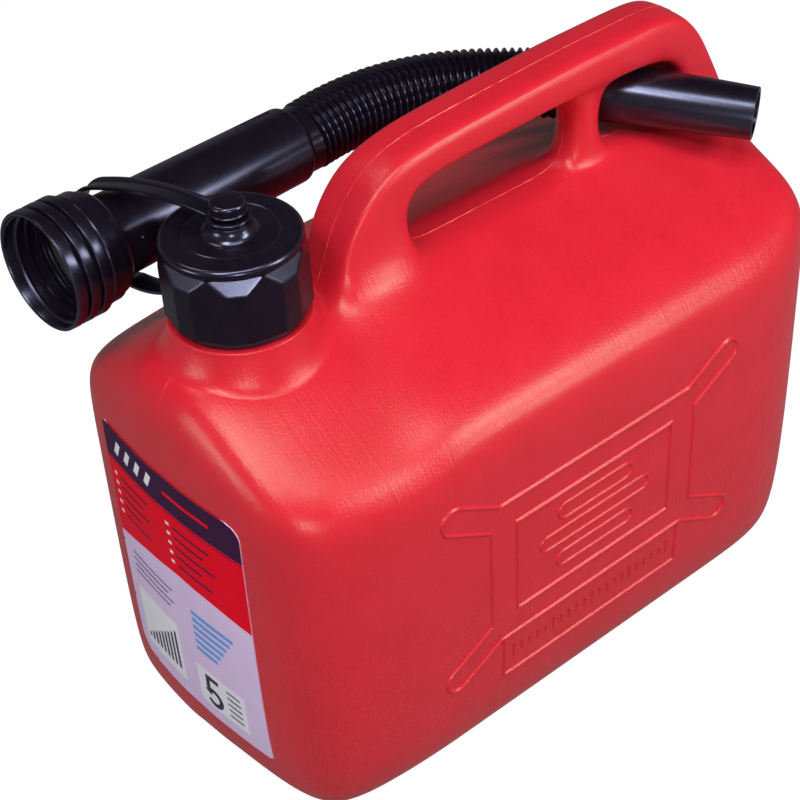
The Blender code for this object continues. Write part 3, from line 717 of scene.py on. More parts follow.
def open_neck(skin):
    """Removes the faces under the neck's bore."""
    reach = (NECK_BORE_RADIUS + NECK_RADIUS) / 2
    under = []
    for face in skin.faces:
        middle = face.calc_center_median()
        if middle.z > WAIST_HEIGHT and hypot(middle.x - NECK_X, middle.y) < reach:
            under.append(face)
    bmesh.ops.delete(skin, geom=under, context="FACES")


def parting_loops(skin):
    """The loops of edges that lie in the can's middle plane."""
    links = {}
    for edge in skin.edges:
        a, b = edge.verts
        if abs(a.co.y) < IN_PLANE and abs(b.co.y) < IN_PLANE:
            links.setdefault(a.index, []).append(b.index)
            links.setdefault(b.index, []).append(a.index)
    skin.verts.ensure_lookup_table()
    loops = []
    left = set(links)
    while left:
        ahead = [min(left)]
        loop = []
        while ahead:
            loop.append(ahead[0])
            left.discard(ahead[0])
            ahead = [index for index in links[ahead[0]] if index in left]
        loops.append([skin.verts[index].co.copy() for index in loop])
    return loops


def make_parting_line(loops, red):
    parts = ([], [])
    for loop in loops:
        rows = []
        for index, point in enumerate(loop):
            run = loop[(index + 1) % len(loop)] - loop[index - 1]
            swell = 1 + PARTING_UNEVENNESS * noise.noise(point * PARTING_SCALE)
            rows.append(circle(PARTING_RADIUS * swell, 0, PARTING_SIDES, along(point, run)))
        shown = []
        for point in loop:
            low = FRONT_PARTING_LOW if point.x < FRONT_PARTING_REACH else PARTING_LOW
            shown.append(point.z >= low)
        if not all(shown):
            start = next(index for index in range(len(loop)) if shown[index] and not shown[index - 1])
            rows = (rows[start:] + rows[:start])[: sum(shown)]
        grid(parts, rows, wrap=True, wrap_rows=all(shown))
    return add_piece("parting_line", parts, [red])


def roof_height(surface, x, y):
    hit = surface.ray_cast(Vector((x, y, SEAT_TOP + SEAT_SKIRT)), Vector((0, 0, -1)))
    return hit[0].z


def add_neck(parts, surface):
    """Bore, neck, seat and the seat's curve down into the roof."""
    profile = [
        (NECK_BORE_RADIUS, ROOF_HEIGHT - NECK_FOOT),
        (NECK_BORE_RADIUS, NECK_TOP),
        (NECK_RADIUS, NECK_TOP),
        (NECK_RADIUS, SEAT_TOP),
        (SEAT_RADIUS, SEAT_TOP),
        (SEAT_RADIUS, SEAT_TOP - SEAT_ROUNDING * 2),
    ]
    rows = [
        circle(radius, height, ROUND_SIDES, NECK_PLACE)
        for radius, height in rounded(profile, SEAT_ROUNDING)[:-1]
    ]
    edge = circle(SEAT_RADIUS, 0, ROUND_SIDES, NECK_PLACE)
    roots = [roof_height(surface, point.x, point.y) for point in edge]
    for step in range(SEAT_STEPS + 1):
        share = step / SEAT_STEPS
        ring = circle(SEAT_RADIUS + SEAT_SKIRT * share, 0, ROUND_SIDES, NECK_PLACE)
        for point, root in zip(ring, roots):
            rise = (SEAT_TOP - SEAT_ROUNDING - root) * (1 - share) ** SEAT_CURVE_POWER
            point.z = roof_height(surface, point.x, point.y) + rise - SEAT_SINK * share
        rows.append(ring)
    grid(parts, rows, wrap=True)


def add_helix(parts, place, radius, start, turns, height):
    """A thread's ridge round Z, from a height up. A negative height points inwards."""
    count = turns * THREAD_STEPS
    sink = -copysign(BEAD_SINK, height)
    crest = THREAD_HALF * THREAD_CREST_SHARE
    rows = []
    for step in range(count + 1):
        here = place @ Matrix.Rotation(2 * pi * step / THREAD_STEPS, 4, "Z")
        middle = start + THREAD_PITCH * step / THREAD_STEPS
        rise = height * min(1, step / THREAD_FADE_STEPS, (count - step) / THREAD_FADE_STEPS)
        section = ((THREAD_HALF, sink), (crest, rise), (-crest, rise), (-THREAD_HALF, sink))
        rows.append([here @ Vector((radius + across, 0, middle + up)) for up, across in section])
    grid(parts, rows)
    fan(parts, rows[0])
    fan(parts, rows[-1])


def make_shell(red):
    """The can's outer skin and its lining. Also gives the skin that other pieces are laid on."""
    skin = smooth_skin(SHELL_LEVELS)
    surface = BVHTree.FromBMesh(skin)
    loops = parting_loops(skin)
    open_neck(skin)
    lining = smooth_skin(LINING_LEVELS)
    lining.normal_update()
    for vertex in lining.verts:
        vertex.co -= vertex.normal * BODY_WALL
    open_neck(lining)
    parts = ([], [])
    for source, step in ((skin, 1), (lining, -1)):
        first = len(parts[0])
        source.verts.index_update()
        parts[0].extend(tuple(vertex.co) for vertex in source.verts)
        for face in source.faces:
            corners = [first + vertex.index for vertex in face.verts]
            parts[1].append((tuple(corners[::step]), 0))
        source.free()
    add_neck(parts, surface)
    thread_start = CAP_BOTTOM + THREAD_PITCH
    add_helix(parts, NECK_PLACE, NECK_RADIUS, thread_start, NECK_THREAD_TURNS, THREAD_HEIGHT)
    return add_piece("can_shell", parts, [red]), surface, loops


# Lines and prints laid on the shell


def on_side(surface, side, x, z):
    hit = surface.ray_cast(Vector((x, side * HALF_LENGTH, z)), Vector((0, -side, 0)))
    return hit[0], hit[1]


def on_front(surface, s, z):
    """A point of the front face, s from the label's left edge."""
    start = Vector((-HALF_LENGTH * 2, LABEL_WIDTH / 2 - s, z))
    hit = surface.ray_cast(start, Vector((1, 0, 0)))
    return hit[0], hit[1]


def resampled(path, step, closed):
    """The path's points with others between them, and each one's mitre across the path."""
    corners = [Vector(point) for point in path]
    if closed:
        corners.append(corners[0])
    fine = []
    for a, b in zip(corners, corners[1:]):
        count = max(1, ceil((b - a).length / step))
        fine += [a.lerp(b, index / count) for index in range(count)]
    if not closed:
        fine.append(corners[-1])
    result = []
    for index, point in enumerate(fine):
        before = fine[index - 1] if closed or index else fine[index]
        after = fine[(index + 1) % len(fine)] if closed or index < len(fine) - 1 else fine[index]
        ways = [way.normalized() for way in (point - before, after - point) if way.length > 0]
        first, last = (Vector((-way.y, way.x)) for way in (ways[0], ways[-1]))
        result.append((point, (first + last) / (1 + first.dot(last))))
    return result


def lay(parts, lookup, path, section, step, closed=False, finish=0):
    """A strip that follows a flat path laid on the shell. section holds (across, out) pairs."""
    rows = []
    for point, mitre in resampled(path, step, closed):
        row = []
        for across, outward in section:
            flat = point + mitre * across
            place, normal = lookup(flat.x, flat.y)
            row.append(place + normal * outward)
        rows.append(row)
    grid(parts, rows, wrap_rows=closed, finish=finish)


def arm_end(turn_x, turn_z):
    """The outline of one arm of the moulded frame, from its upper root to its lower one."""
    middle = Vector(ARM_PLACE)
    run = Vector((cos(ARM_TILT), sin(ARM_TILT)))
    wide = Vector((-run.y, run.x)) * ARM_RADIUS
    points = []
    upper = middle + wide
    back = (upper.y - EMBOSS_HALF_HEIGHT) / run.y
    points.append(upper - run * back)
    for step in range(ARM_STEPS + 1):
        turn = ARM_TILT + pi / 2 - pi * step / ARM_STEPS
        points.append(middle + Vector((cos(turn), sin(turn))) * ARM_RADIUS)
    lower = middle - wide
    back = (lower.x - EMBOSS_SIDE) / run.x
    points.append(lower - run * back)
    return [(turn_x * point.x, EMBOSS_MIDDLE + turn_z * point.y) for point in points]


def pill(middle_x, middle_z, half, radius):
    """A long round-ended outline."""
    points = []
    for end in (1, -1):
        for step in range(PILL_STEPS + 1):
            turn = end * pi / 2 - pi * step / PILL_STEPS
            x = middle_x + end * half + radius * cos(turn)
            points.append((x, middle_z + radius * sin(turn)))
    return points


def make_emboss(surface, red):
    parts = ([], [])
    section = []
    for share in BEAD_SHARES:
        rise = (BEAD_HEIGHT + BEAD_SINK) * cos(pi / 2 * share) ** 2 - BEAD_SINK
        section.append((BEAD_HALF_WIDTH * share, rise))
    fine = [(across * FINE_BEAD[0], up * FINE_BEAD[1]) for across, up in section]
    outline = []
    for turn_x, turn_z in ((1, 1), (1, -1), (-1, -1), (-1, 1)):
        arm = arm_end(turn_x, turn_z)
        outline += arm if turn_x == turn_z else arm[::-1]
    half_x, half_z = PANEL_HALF
    low = EMBOSS_MIDDLE - half_z
    high = EMBOSS_MIDDLE + half_z
    panel = [(-half_x, low), (half_x, low), (half_x, high), (-half_x, high)]
    top = EMBOSS_MIDDLE - EMBOSS_HALF_HEIGHT
    reach = STRIP_HALF_LENGTH
    strip = [(-reach, top), (-reach, STRIP_LOW), (reach, STRIP_LOW), (reach, top)]
    for side in (-1, 1):
        lookup = partial(on_side, surface, side)
        lay(parts, lookup, outline, section, BEAD_STEP, closed=True)
        lay(parts, lookup, panel, section, BEAD_STEP, closed=True)
        lay(parts, lookup, strip, section, BEAD_STEP)
        for rise, half, radius in PILL_ROWS:
            path = pill(0, EMBOSS_MIDDLE + rise, half, radius)
            lay(parts, lookup, path, fine, BEAD_STEP, closed=True)
        for index in range(PIP_COUNT):
            x = PIP_REACH * (2 * index / (PIP_COUNT - 1) - 1)
            half = PIP_HALF if index % PIP_GROUP == 0 else PIP_HALF / 2
            lay(parts, lookup, [(x, PIP_MIDDLE - half), (x, PIP_MIDDLE + half)], fine, BEAD_STEP / 2)
    return add_piece("side_emboss", parts, [red])


def corner_inset(edge, radius):
    if edge >= radius:
        return 0
    return radius - sqrt(max(0, radius**2 - (radius - edge) ** 2))


def label_span(z):
    """The label's left and right edges at a height, with its rounded corners."""
    insets = []
    for upper, lower in zip(LABEL_UPPER_CORNERS, LABEL_LOWER_CORNERS):
        insets.append(corner_inset(LABEL_HIGH - z, upper) + corner_inset(z - LABEL_LOW, lower))
    return insets[0], LABEL_WIDTH - insets[1]


def band(parts, surface, low, high, lift, finish, rows, left=0, right=LABEL_WIDTH):
    """A printed area up to a height. low is a height or a function of s."""
    columns = max(2, round((right - left) / LABEL_STEP))
    made = []
    for r in range(rows + 1):
        row = []
        for c in range(columns + 1):
            s = left + (right - left) * c / columns
            bottom = low(s) if callable(low) else low
            z = bottom + (high - bottom) * r / rows
            first, last = label_span(z)
            place, normal = on_front(surface, min(max(s, first), last), z)
            row.append(place + normal * lift)
        made.append(row)
    grid(parts, made, finish=finish)


def red_edge(s):
    share = s / LABEL_WIDTH
    return RED_EDGE + RED_SWELL * (share + sin(pi * share) * RED_BULGE)


def numeral_five(left, low, width, height):
    """The centre line of a plain 5."""
    radius = width * FIVE_BOWL_SHARE
    middle = low + radius
    foot_x, foot_z = FIVE_STEM_FOOT
    points = [
        (left + width, low + height),
        (left + width * FIVE_STEM_TOP, low + height),
        (left + width * foot_x, middle + radius * foot_z),
    ]
    centre = left + width - radius
    start, sweep = FIVE_TURN
    for step in range(FIVE_STEPS + 1):
        turn = start + sweep * step / FIVE_STEPS
        points.append((centre + radius * cos(turn), middle + radius * sin(turn)))
    return points


def make_label(surface, finishes):
    parts = ([], [])
    top = LABEL_LIFT + LABEL_THICKNESS
    band(parts, surface, LABEL_LOW, LABEL_HIGH, top, PAPER, LABEL_ROWS)
    span = LABEL_HIGH - LABEL_LOW
    heights = [LABEL_LOW + span * step / LABEL_RIM_STEPS for step in range(LABEL_RIM_STEPS + 1)]
    rim = [(label_span(z)[1], z) for z in heights]
    rim += [(label_span(z)[0], z) for z in reversed(heights)]
    edges = []
    for s, z in rim:
        place, normal = on_front(surface, s, z)
        edges.append([place + normal * top, place])
    grid(parts, edges, wrap_rows=True, finish=PAPER)

    area_lift = top + PRINT_LIFT
    band(parts, surface, NAVY_LOW, LABEL_HIGH, area_lift, NAVY, NAVY_ROWS)
    band(parts, surface, red_edge, NAVY_LOW, area_lift, RED_INK, RED_ROWS)
    for left, low, right, high in PANEL_PLACES:
        band(parts, surface, low, high, area_lift, PALE, PANEL_ROWS, left, right)

    def stroke(path, width, finish):
        lift = top + 2 * PRINT_LIFT
        section = [(-width / 2, lift), (width / 2, lift)]
        lay(parts, partial(on_front, surface), path, section, LABEL_STEP, finish=finish)

    inset, drop, width = NAVY_RULE
    rule = [(inset, NAVY_LOW - drop), (LABEL_WIDTH - inset, NAVY_LOW - drop)]
    stroke(rule, width, NAVY)
    for left, lengths in RULES:
        for row, length in enumerate(lengths):
            z = RULE_HIGH - RULE_STEP * row
            stroke([(left, z), (left + length, z)], RULE_WIDTH, NAVY)
    for start, end, start_step, end_step, count, width, ink in BARS:
        for index in range(count):
            near, far = (
                [place + index * step for place, step in zip(point, steps)]
                for point, steps in ((start, start_step), (end, end_step))
            )
            stroke([near, far], width, ink)
    stroke(numeral_five(*FIVE_PLACE, *FIVE_SIZE), FIVE_STROKE, DARK)
    return add_piece("label_sheet", parts, finishes, PRINT_WELD)


# Cap


def skirt_radius(angle, cut=0):
    """The skirt's outline: eight flats, with each corner cut by a plane that may lie deeper."""
    turn = 2 * pi / CAP_SIDES
    local = (angle - CAP_TURNED_BY) % turn
    corner = min(local, turn - local)
    flat = turn / 2 - corner
    corner_share = (CAP_CORNER_RADIUS - cut) / CAP_FLAT_RADIUS
    shares = (1 / cos(flat), corner_share / cos(corner))
    least = sum(share**-CAP_CORNER_SOFTNESS for share in shares) ** (-1 / CAP_CORNER_SOFTNESS)
    return CAP_FLAT_RADIUS * least


def make_cap(grained, satin):
    parts = ([], [])
    angles = [2 * pi * step / CAP_STEPS for step in range(CAP_STEPS)]
    rows = []

    def add_ring(radii, height):
        ring = []
        for radius, angle in zip(radii, angles):
            ring.append(Vector((NECK_X + radius * cos(angle), radius * sin(angle), height)))
        rows.append(ring)

    inside = [(0, CAP_CEILING), (CAP_BORE_RADIUS, CAP_CEILING), (CAP_BORE_RADIUS, CAP_BOTTOM)]
    for radius, height in rounded(inside, CAP_BORE_ROUNDING)[1:]:
        add_ring([radius] * CAP_STEPS, height)
    for step in range(CAP_RIM_STEPS + 1):
        turn = pi / 2 * step / CAP_RIM_STEPS
        inset = CAP_RIM_ROUNDING * (1 - sin(turn))
        height = CAP_BOTTOM + CAP_RIM_ROUNDING * (1 - cos(turn))
        add_ring([skirt_radius(angle) - inset for angle in angles], height)
    ledge = CAP_TOP - CAP_LEDGE
    bevel = ledge - BEVEL_HEIGHT
    low = CAP_BOTTOM + CAP_RIM_ROUNDING
    for step in range(1, SKIRT_STEPS + 1):
        height = low + (ledge - low) * step / SKIRT_STEPS
        cut = BEVEL_DEPTH * max(0, height - bevel) / BEVEL_HEIGHT
        add_ring([skirt_radius(angle, cut) for angle in angles], height)
    top = beside(CAP_DISC_RADIUS, ledge, DISC_EDGE)
    top += arc(CAP_DISC_RADIUS, CAP_TOP, DISC_ROUNDING)
    top += [
        (DISC_RING_RADIUS + DISC_RING_HALF, CAP_TOP),
        (DISC_RING_RADIUS, CAP_TOP - DISC_RING_DEPTH),
        (DISC_RING_RADIUS - DISC_RING_HALF, CAP_TOP),
    ]
    top += beside(BOSS_RADIUS, CAP_TOP, BOSS_CURVE)
    top += beside(STEM_RADIUS, BOSS_TOP, WASHER_CURVE)
    top.append((STEM_RADIUS, STEM_TOP))
    top += beside(KNOB_RADIUS, STEM_TOP, KNOB_FOOT)
    top += arc(KNOB_RADIUS, KNOB_TOP - KNOB_CROWN, KNOB_ROUNDING)
    top += beside(0, KNOB_TOP, KNOB_MIDDLE)
    for radius, height in rounded(top, CAP_TOP_ROUNDING, steps=3):
        add_ring([radius] * CAP_STEPS, height)
    grid(parts, rows, wrap=True)
    thread_start = CAP_BOTTOM + THREAD_PITCH / 2
    add_helix(parts, NECK_PLACE, CAP_BORE_RADIUS, thread_start, NECK_THREAD_TURNS, -THREAD_HEIGHT)
    points, faces = parts
    for index, (corners, _) in enumerate(faces):
        a, b, c = (Vector(points[corner]) for corner in corners[:3])
        upward = (b - a).cross(c - b).normalized().z
        faces[index] = (corners, int(abs(upward) > BEVEL_UPWARD))
    return add_piece("cap_shell", parts, [grained, satin])


# Strap


def spout_point(distance):
    return MOUTH_CENTRE + SPOUT_DIRECTION * distance


def bowed(start, end, bow, steps):
    """Points from beyond a start to an end, bowed upwards between them."""
    points = []
    for step in range(1, steps + 1):
        share = step / steps
        x, z = (a + (b - a) * share for a, b in zip(start, end))
        points.append((x, z + 4 * bow * share * (1 - share)))
    return points


def strap_line():
    """The strap's bearing and two runs of its middle line, as (distance from the cap's axis, height)."""
    half = STRAP_THICKNESS / 2
    crossing = spout_point(COLLAR_LENGTH + STRAP_COLLAR_GAP + STRAP_WIDTH / 2)
    bearing = atan2(crossing.y, crossing.x - NECK_X)
    reach = hypot(crossing.y, crossing.x - NECK_X)
    radius = BARREL_RADIUS + STRAP_SLACK + half
    stretch = 1 / sin(bearing - SPOUT_TURN)
    eye = (STEM_RADIUS + EYE_RIM - half, BOSS_TOP + CLEARANCE + half)
    ring = (NECK_RADIUS + RING_RIM - half, RING_BOTTOM + RING_HEIGHT / 2)
    span = reach - eye[0]
    fall = atan2(eye[1] - crossing.z - radius, span) + 4 * STRAP_BOW / span
    low_fall = atan2(ring[1] - (crossing.z - radius), reach - ring[0])
    start = radians(90) - fall
    end = radians(-90) - low_fall
    over = []
    for step in range(STRAP_ARC_STEPS + 1):
        turn = start + (end - start) * step / STRAP_ARC_STEPS
        over.append((reach + radius * stretch * cos(turn), crossing.z + radius * sin(turn)))
    middle = STRAP_ARC_STEPS // 4
    upper = [eye] + bowed(eye, over[0], STRAP_BOW, STRAP_BOW_STEPS + 1)[:-1] + over[: middle + 1]
    lower = over[middle:] + bowed(over[-1], ring, -STRAP_SAG, STRAP_BOW_STEPS)
    return bearing, upper, lower


def strap_rows(line, place):
    """A flat band with a raised border along each edge."""
    half = STRAP_THICKNESS / 2
    edge = [(STRAP_BORDER * inset - STRAP_WIDTH / 2, half * up) for inset, up in STRAP_EDGE]
    section = edge + [(-across, up) for across, up in reversed(edge)]
    points = [Vector((s, 0, z)) for s, z in line]
    rows = []
    for index, point in enumerate(points):
        run = points[min(index + 1, len(points) - 1)] - points[max(index - 1, 0)]
        run.normalize()
        out = Vector((-run.z, 0, run.x))
        rows.append([place @ (point + Vector((0, a, 0)) + out * up) for a, up in section])
    return rows


def make_strap(black):
    """The strap's upper and lower piece, and the points between which the upper one stretches."""
    bearing, upper, lower = strap_line()
    place = NECK_PLACE @ Matrix.Rotation(bearing, 4, "Z")
    low = BOSS_TOP + CLEARANCE
    high = low + STRAP_THICKNESS
    eye = hoop(STEM_RADIUS + CLEARANCE, STEM_RADIUS + EYE_RIM, low, high, EYE_ROUNDING)
    low = RING_BOTTOM
    high = low + RING_HEIGHT
    ring = hoop(NECK_RADIUS + CLEARANCE, NECK_RADIUS + RING_RIM, low, high, RING_ROUNDING)
    made = []
    for name, line, end, profile in (("strap_upper", upper, 0, eye), ("strap_lower", lower, -1, ring)):
        parts = ([], [])
        rows = strap_rows(line, place)
        grid(parts, rows, wrap=True)
        fan(parts, rows[end])
        turned(parts, profile, NECK_PLACE)
        made.append(add_piece(name, parts, [black]))
    eye_point, held_point = (place @ Vector((x, 0, z)) for x, z in (upper[0], upper[-1]))
    return *made, held_point, eye_point


# Spout


def make_collar(black):
    inset, rise = COLLAR_MOUTH_BEVEL
    bore = BARREL_RADIUS + CLEARANCE
    shelf = COLLAR_LENGTH - COLLAR_LIP
    profile = [
        (COLLAR_THREAD_RADIUS, rise),
        (COLLAR_THREAD_RADIUS + inset, 0),
        (COLLAR_RADIUS - inset, 0),
    ]
    for index in range(COLLAR_RINGS):
        profile += beside(COLLAR_RADIUS, COLLAR_RING_WIDTH * index, COLLAR_RING_CURVE)
    profile += beside(COLLAR_RADIUS, COLLAR_RING_WIDTH * COLLAR_RINGS, COLLAR_HUB_CURVE)
    profile += [
        (COLLAR_RADIUS - COLLAR_REAR_INSET, COLLAR_LENGTH),
        (bore, COLLAR_LENGTH),
        (bore, shelf),
        (COLLAR_THREAD_RADIUS, shelf),
        (COLLAR_THREAD_RADIUS, rise),
    ]
    parts = ([], [])
    place = along(MOUTH_CENTRE, SPOUT_DIRECTION)
    turned(parts, rounded(profile, COLLAR_ROUNDING, steps=3), place)
    turns, height = COLLAR_THREAD_TURNS, -COLLAR_THREAD_HEIGHT
    add_helix(parts, place, COLLAR_THREAD_RADIUS, COLLAR_THREAD_START, turns, height)
    return add_piece("collar_nut", parts, [black])


def barrel_point(distance, turn):
    """A point of the barrel's skin, turned from its top towards -Y."""
    up = (Vector((0, 0, 1)) - SPOUT_DIRECTION * SPOUT_DIRECTION.z).normalized()
    side = SPOUT_DIRECTION.cross(up)
    share = (distance - COLLAR_LENGTH) / (SPOUT_LENGTH - COLLAR_LENGTH)
    radius = BARREL_RADIUS + (BARREL_END_RADIUS - BARREL_RADIUS) * share
    return spout_point(distance) + (up * cos(turn) + side * sin(turn)) * radius


def make_barrel(black):
    span = SPOUT_LENGTH - FLANGE_FRONT
    socket = span - SOCKET_DEPTH
    inset, back = BARREL_END_BEVEL
    profile = [
        (BARREL_BORE_RADIUS, span / 2),
        (BARREL_BORE_RADIUS, 0),
        (FLANGE_RADIUS, 0),
        (FLANGE_RADIUS, FLANGE_THICKNESS),
        (BARREL_RADIUS, FLANGE_THICKNESS),
        (BARREL_RADIUS, COLLAR_LENGTH - FLANGE_FRONT),
        (BARREL_END_RADIUS, span - back),
        (BARREL_END_RADIUS - inset, span),
        (SOCKET_RADIUS, span),
        (SOCKET_RADIUS, socket),
        (BARREL_BORE_RADIUS, socket - BARREL_BORE_STEP),
        (BARREL_BORE_RADIUS, span / 2),
    ]
    parts = ([], [])
    turned(parts, rounded(profile, BARREL_ROUNDING), along(spout_point(FLANGE_FRONT), SPOUT_DIRECTION))
    for turn, near, far, radius in BARREL_RIDGES:
        rows = []
        for step in range(RIDGE_STEPS + 1):
            share = step / RIDGE_STEPS
            ends = sqrt(max(0, 1 - (2 * share - 1) ** RIDGE_END_POWER))
            place = along(barrel_point(near + (far - near) * share, turn), SPOUT_DIRECTION)
            rows.append(circle(radius * max(ends, RIDGE_END_SHARE), 0, RIDGE_SIDES, place))
        grid(parts, rows, wrap=True)
    ball = []
    for step in range(NUB_STEPS + 1):
        turn = pi * step / NUB_STEPS
        ball.append((max(LEAST, NUB_RADIUS * sin(turn)), -NUB_RADIUS * cos(turn)))
    turned(parts, ball, along(barrel_point(*NUB_PLACE), SPOUT_DIRECTION), NUB_SIDES)
    return add_piece("barrel_tube", parts, [black])


def hose_point(share):
    """A point of the hose's bend between its straight ends."""
    start = spout_point(SPOUT_LENGTH + CLEARANCE + HOSE_COLLAR_LENGTH)
    end = TIP_START - TIP_DIRECTION * (CLEARANCE + HOSE_END_LENGTH)
    near = start + SPOUT_DIRECTION * HOSE_START_PULL + Vector((0, 0, HOSE_START_LIFT))
    far = end - TIP_DIRECTION * HOSE_END_PULL - Vector((0, 0, HOSE_END_SAG))
    rest = 1 - share
    return start * rest**3 + near * 3 * rest**2 * share + far * 3 * rest * share**2 + end * share**3


def hose_line(count):
    """Points at even lengths along the bend, and the bend's length."""
    fine = [spout_point(SPOUT_LENGTH + CLEARANCE)]
    fine += [hose_point(step / HOSE_FINE_STEPS) for step in range(HOSE_FINE_STEPS + 1)]
    fine.append(TIP_START - TIP_DIRECTION * CLEARANCE)
    lengths = [0]
    for before, after in zip(fine, fine[1:]):
        lengths.append(lengths[-1] + (after - before).length)
    line = []
    index = 0
    for step in range(count + 1):
        wanted = lengths[-1] * step / count
        while index < len(fine) - 2 and lengths[index + 1] < wanted:
            index += 1
        span = lengths[index + 1] - lengths[index]
        line.append(fine[index].lerp(fine[index + 1], (wanted - lengths[index]) / span))
    return line, lengths[-1]


def make_hose(black):
    count = HOSE_RIBS * HOSE_RIB_STEPS
    line, length = hose_line(count)
    runs = [SPOUT_DIRECTION]
    runs += [(b - a).normalized() for a, b in zip(line, line[2:])]
    runs.append(TIP_DIRECTION)
    back = line[0] - SPOUT_DIRECTION * HOSE_CUFF_LENGTH
    ahead = line[-1] + TIP_DIRECTION * HOSE_CUFF_LENGTH
    sections = [
        (HOSE_BORE_RADIUS, back, SPOUT_DIRECTION),
        (HOSE_CUFF_RADIUS, back, SPOUT_DIRECTION),
        (HOSE_CUFF_RADIUS, line[0], SPOUT_DIRECTION),
    ]
    for index, (point, run) in enumerate(zip(line, runs)):
        wave = 1 - abs(cos(pi * index / HOSE_RIB_STEPS)) ** HOSE_RIB_POWER
        radius = HOSE_CORE_RADIUS + (HOSE_RIB_RADIUS - HOSE_CORE_RADIUS) * wave
        if length * index / count < HOSE_COLLAR_LENGTH:
            radius = HOSE_COLLAR_RADIUS
        sections.append((radius, point, run))
    sections += [
        (HOSE_CUFF_RADIUS, line[-1], TIP_DIRECTION),
        (HOSE_CUFF_RADIUS, ahead, TIP_DIRECTION),
        (HOSE_BORE_RADIUS, ahead, TIP_DIRECTION),
    ]
    for point, run in list(zip(line, runs))[::-HOSE_RIB_STEPS]:
        sections.append((HOSE_BORE_RADIUS, point, run))
    rows = [circle(radius, 0, HOSE_SIDES, along(point, run)) for radius, point, run in sections]
    parts = ([], [])
    grid(parts, rows, wrap=True, wrap_rows=True)
    return add_piece("hose_ribs", parts, [black])


def make_tip(black):
    profile = [
        (TIP_BORE_RADIUS, TIP_LENGTH / 2),
        (SOCKET_RADIUS, SOCKET_DEPTH),
        (SOCKET_RADIUS, 0),
        (TIP_REAR_RADIUS, 0),
        (TIP_END_RADIUS, TIP_LENGTH),
        (TIP_BORE_RADIUS, TIP_LENGTH),
        (TIP_BORE_RADIUS, TIP_LENGTH / 2),
    ]
    parts = ([], [])
    turned(parts, rounded(profile, TIP_ROUNDING), along(TIP_START, TIP_DIRECTION))
    return add_piece("tip_tube", parts, [black])


# Materials


def fill(tree, node, values):
    """Feeds a node's inputs, by name or number, with plain values or other nodes' outputs."""
    for key, value in values.items():
        if isinstance(value, bpy.types.NodeSocket):
            tree.links.new(value, node.inputs[key])
        else:
            node.inputs[key].default_value = value


def add_node(tree, kind, values):
    node = tree.nodes.new("ShaderNode" + kind)
    fill(tree, node, values)
    return node


def new_material(name, colour, roughness):
    made = bpy.data.materials.new(name)
    made.use_nodes = True
    shader = made.node_tree.nodes["Principled BSDF"]
    fill(made.node_tree, shader, {"Base Color": (*colour, 1), "Roughness": roughness})
    return made, shader, made.node_tree


def places_in(tree, space):
    return add_node(tree, "TexCoord", {}).outputs[space]


def height_in(tree, space):
    return add_node(tree, "SeparateXYZ", {0: places_in(tree, space)}).outputs["Z"]


def add_noise(tree, scale, stretch=(1, 1, 1), detail=3):
    """Noise on the object's own places. scale counts its features in a metre."""
    shares = [scale * share for share in stretch]
    places = add_node(tree, "Mapping", {"Vector": places_in(tree, "Object"), "Scale": shares})
    values = {"Scale": 1, "Detail": detail, "Roughness": NOISE_ROUGHNESS}
    return add_node(tree, "TexNoise", {"Vector": places.outputs[0], **values}).outputs["Fac"]


def spread(tree, value, low, high, from_low=0.3, from_high=0.7):
    """Maps a node's value to a range."""
    values = {"From Min": from_low, "From Max": from_high, "To Min": low, "To Max": high}
    return add_node(tree, "MapRange", {"Value": value, **values}).outputs["Result"]


def between(tree, share, dark, light):
    """A mix of two colours, each one plain or another node's."""
    node = tree.nodes.new("ShaderNodeMix")
    node.data_type = "RGBA"
    linked = isinstance(dark, bpy.types.NodeSocket)
    fill(tree, node, {"Factor": share, 6: dark if linked else (*dark, 1), 7: (*light, 1)})
    return node.outputs[2]


def combine(tree, operation, a, b):
    node = add_node(tree, "Math", {0: a, 1: b})
    node.operation = operation
    return node.outputs[0]


def add_bump(tree, shader, heights):
    """Bumps one on another. heights holds (value, distance) pairs, strongest scale first."""
    below = {}
    for value, distance in heights:
        bump = add_node(tree, "Bump", {"Distance": distance, "Height": value, **below})
        below = {"Normal": bump.outputs["Normal"]}
    fill(tree, shader, below)


def set_shine(tree, shader, colour, roughness, specular, tint):
    fill(tree, shader, {"Base Color": colour, "Roughness": roughness})
    fill(tree, shader, {"Specular IOR Level": specular, "Specular Tint": (*tint, 1)})


def red_material():
    made, shader, tree = new_material("red_polyethylene", RED_PLAIN, RED_PLAIN_ROUGHNESS)
    mottle, grain, speck, wear, streak = RED_SCALES
    even = between(tree, spread(tree, add_noise(tree, mottle), 0, 1), *RED_RANGE)
    fade = spread(tree, height_in(tree, "Object"), *SPECK_SHARES, *SPECK_HEIGHTS)
    specks = spread(tree, add_noise(tree, speck, detail=2), 0, 1, *SPECK_RANGE)
    colour = between(tree, combine(tree, "MULTIPLY", specks, fade), even, RED_SPECK)
    worn = spread(tree, add_noise(tree, wear), *RED_ROUGHNESS)
    streaks = add_noise(tree, streak, STREAK_STRETCH, detail=2)
    grains = add_noise(tree, grain, detail=2)
    add_bump(tree, shader, [(streaks, RED_STREAK_DEPTH), (grains, RED_GRAIN_DEPTH)])
    set_shine(tree, shader, colour, worn, RED_SPECULAR, RED_TINT)
    return made


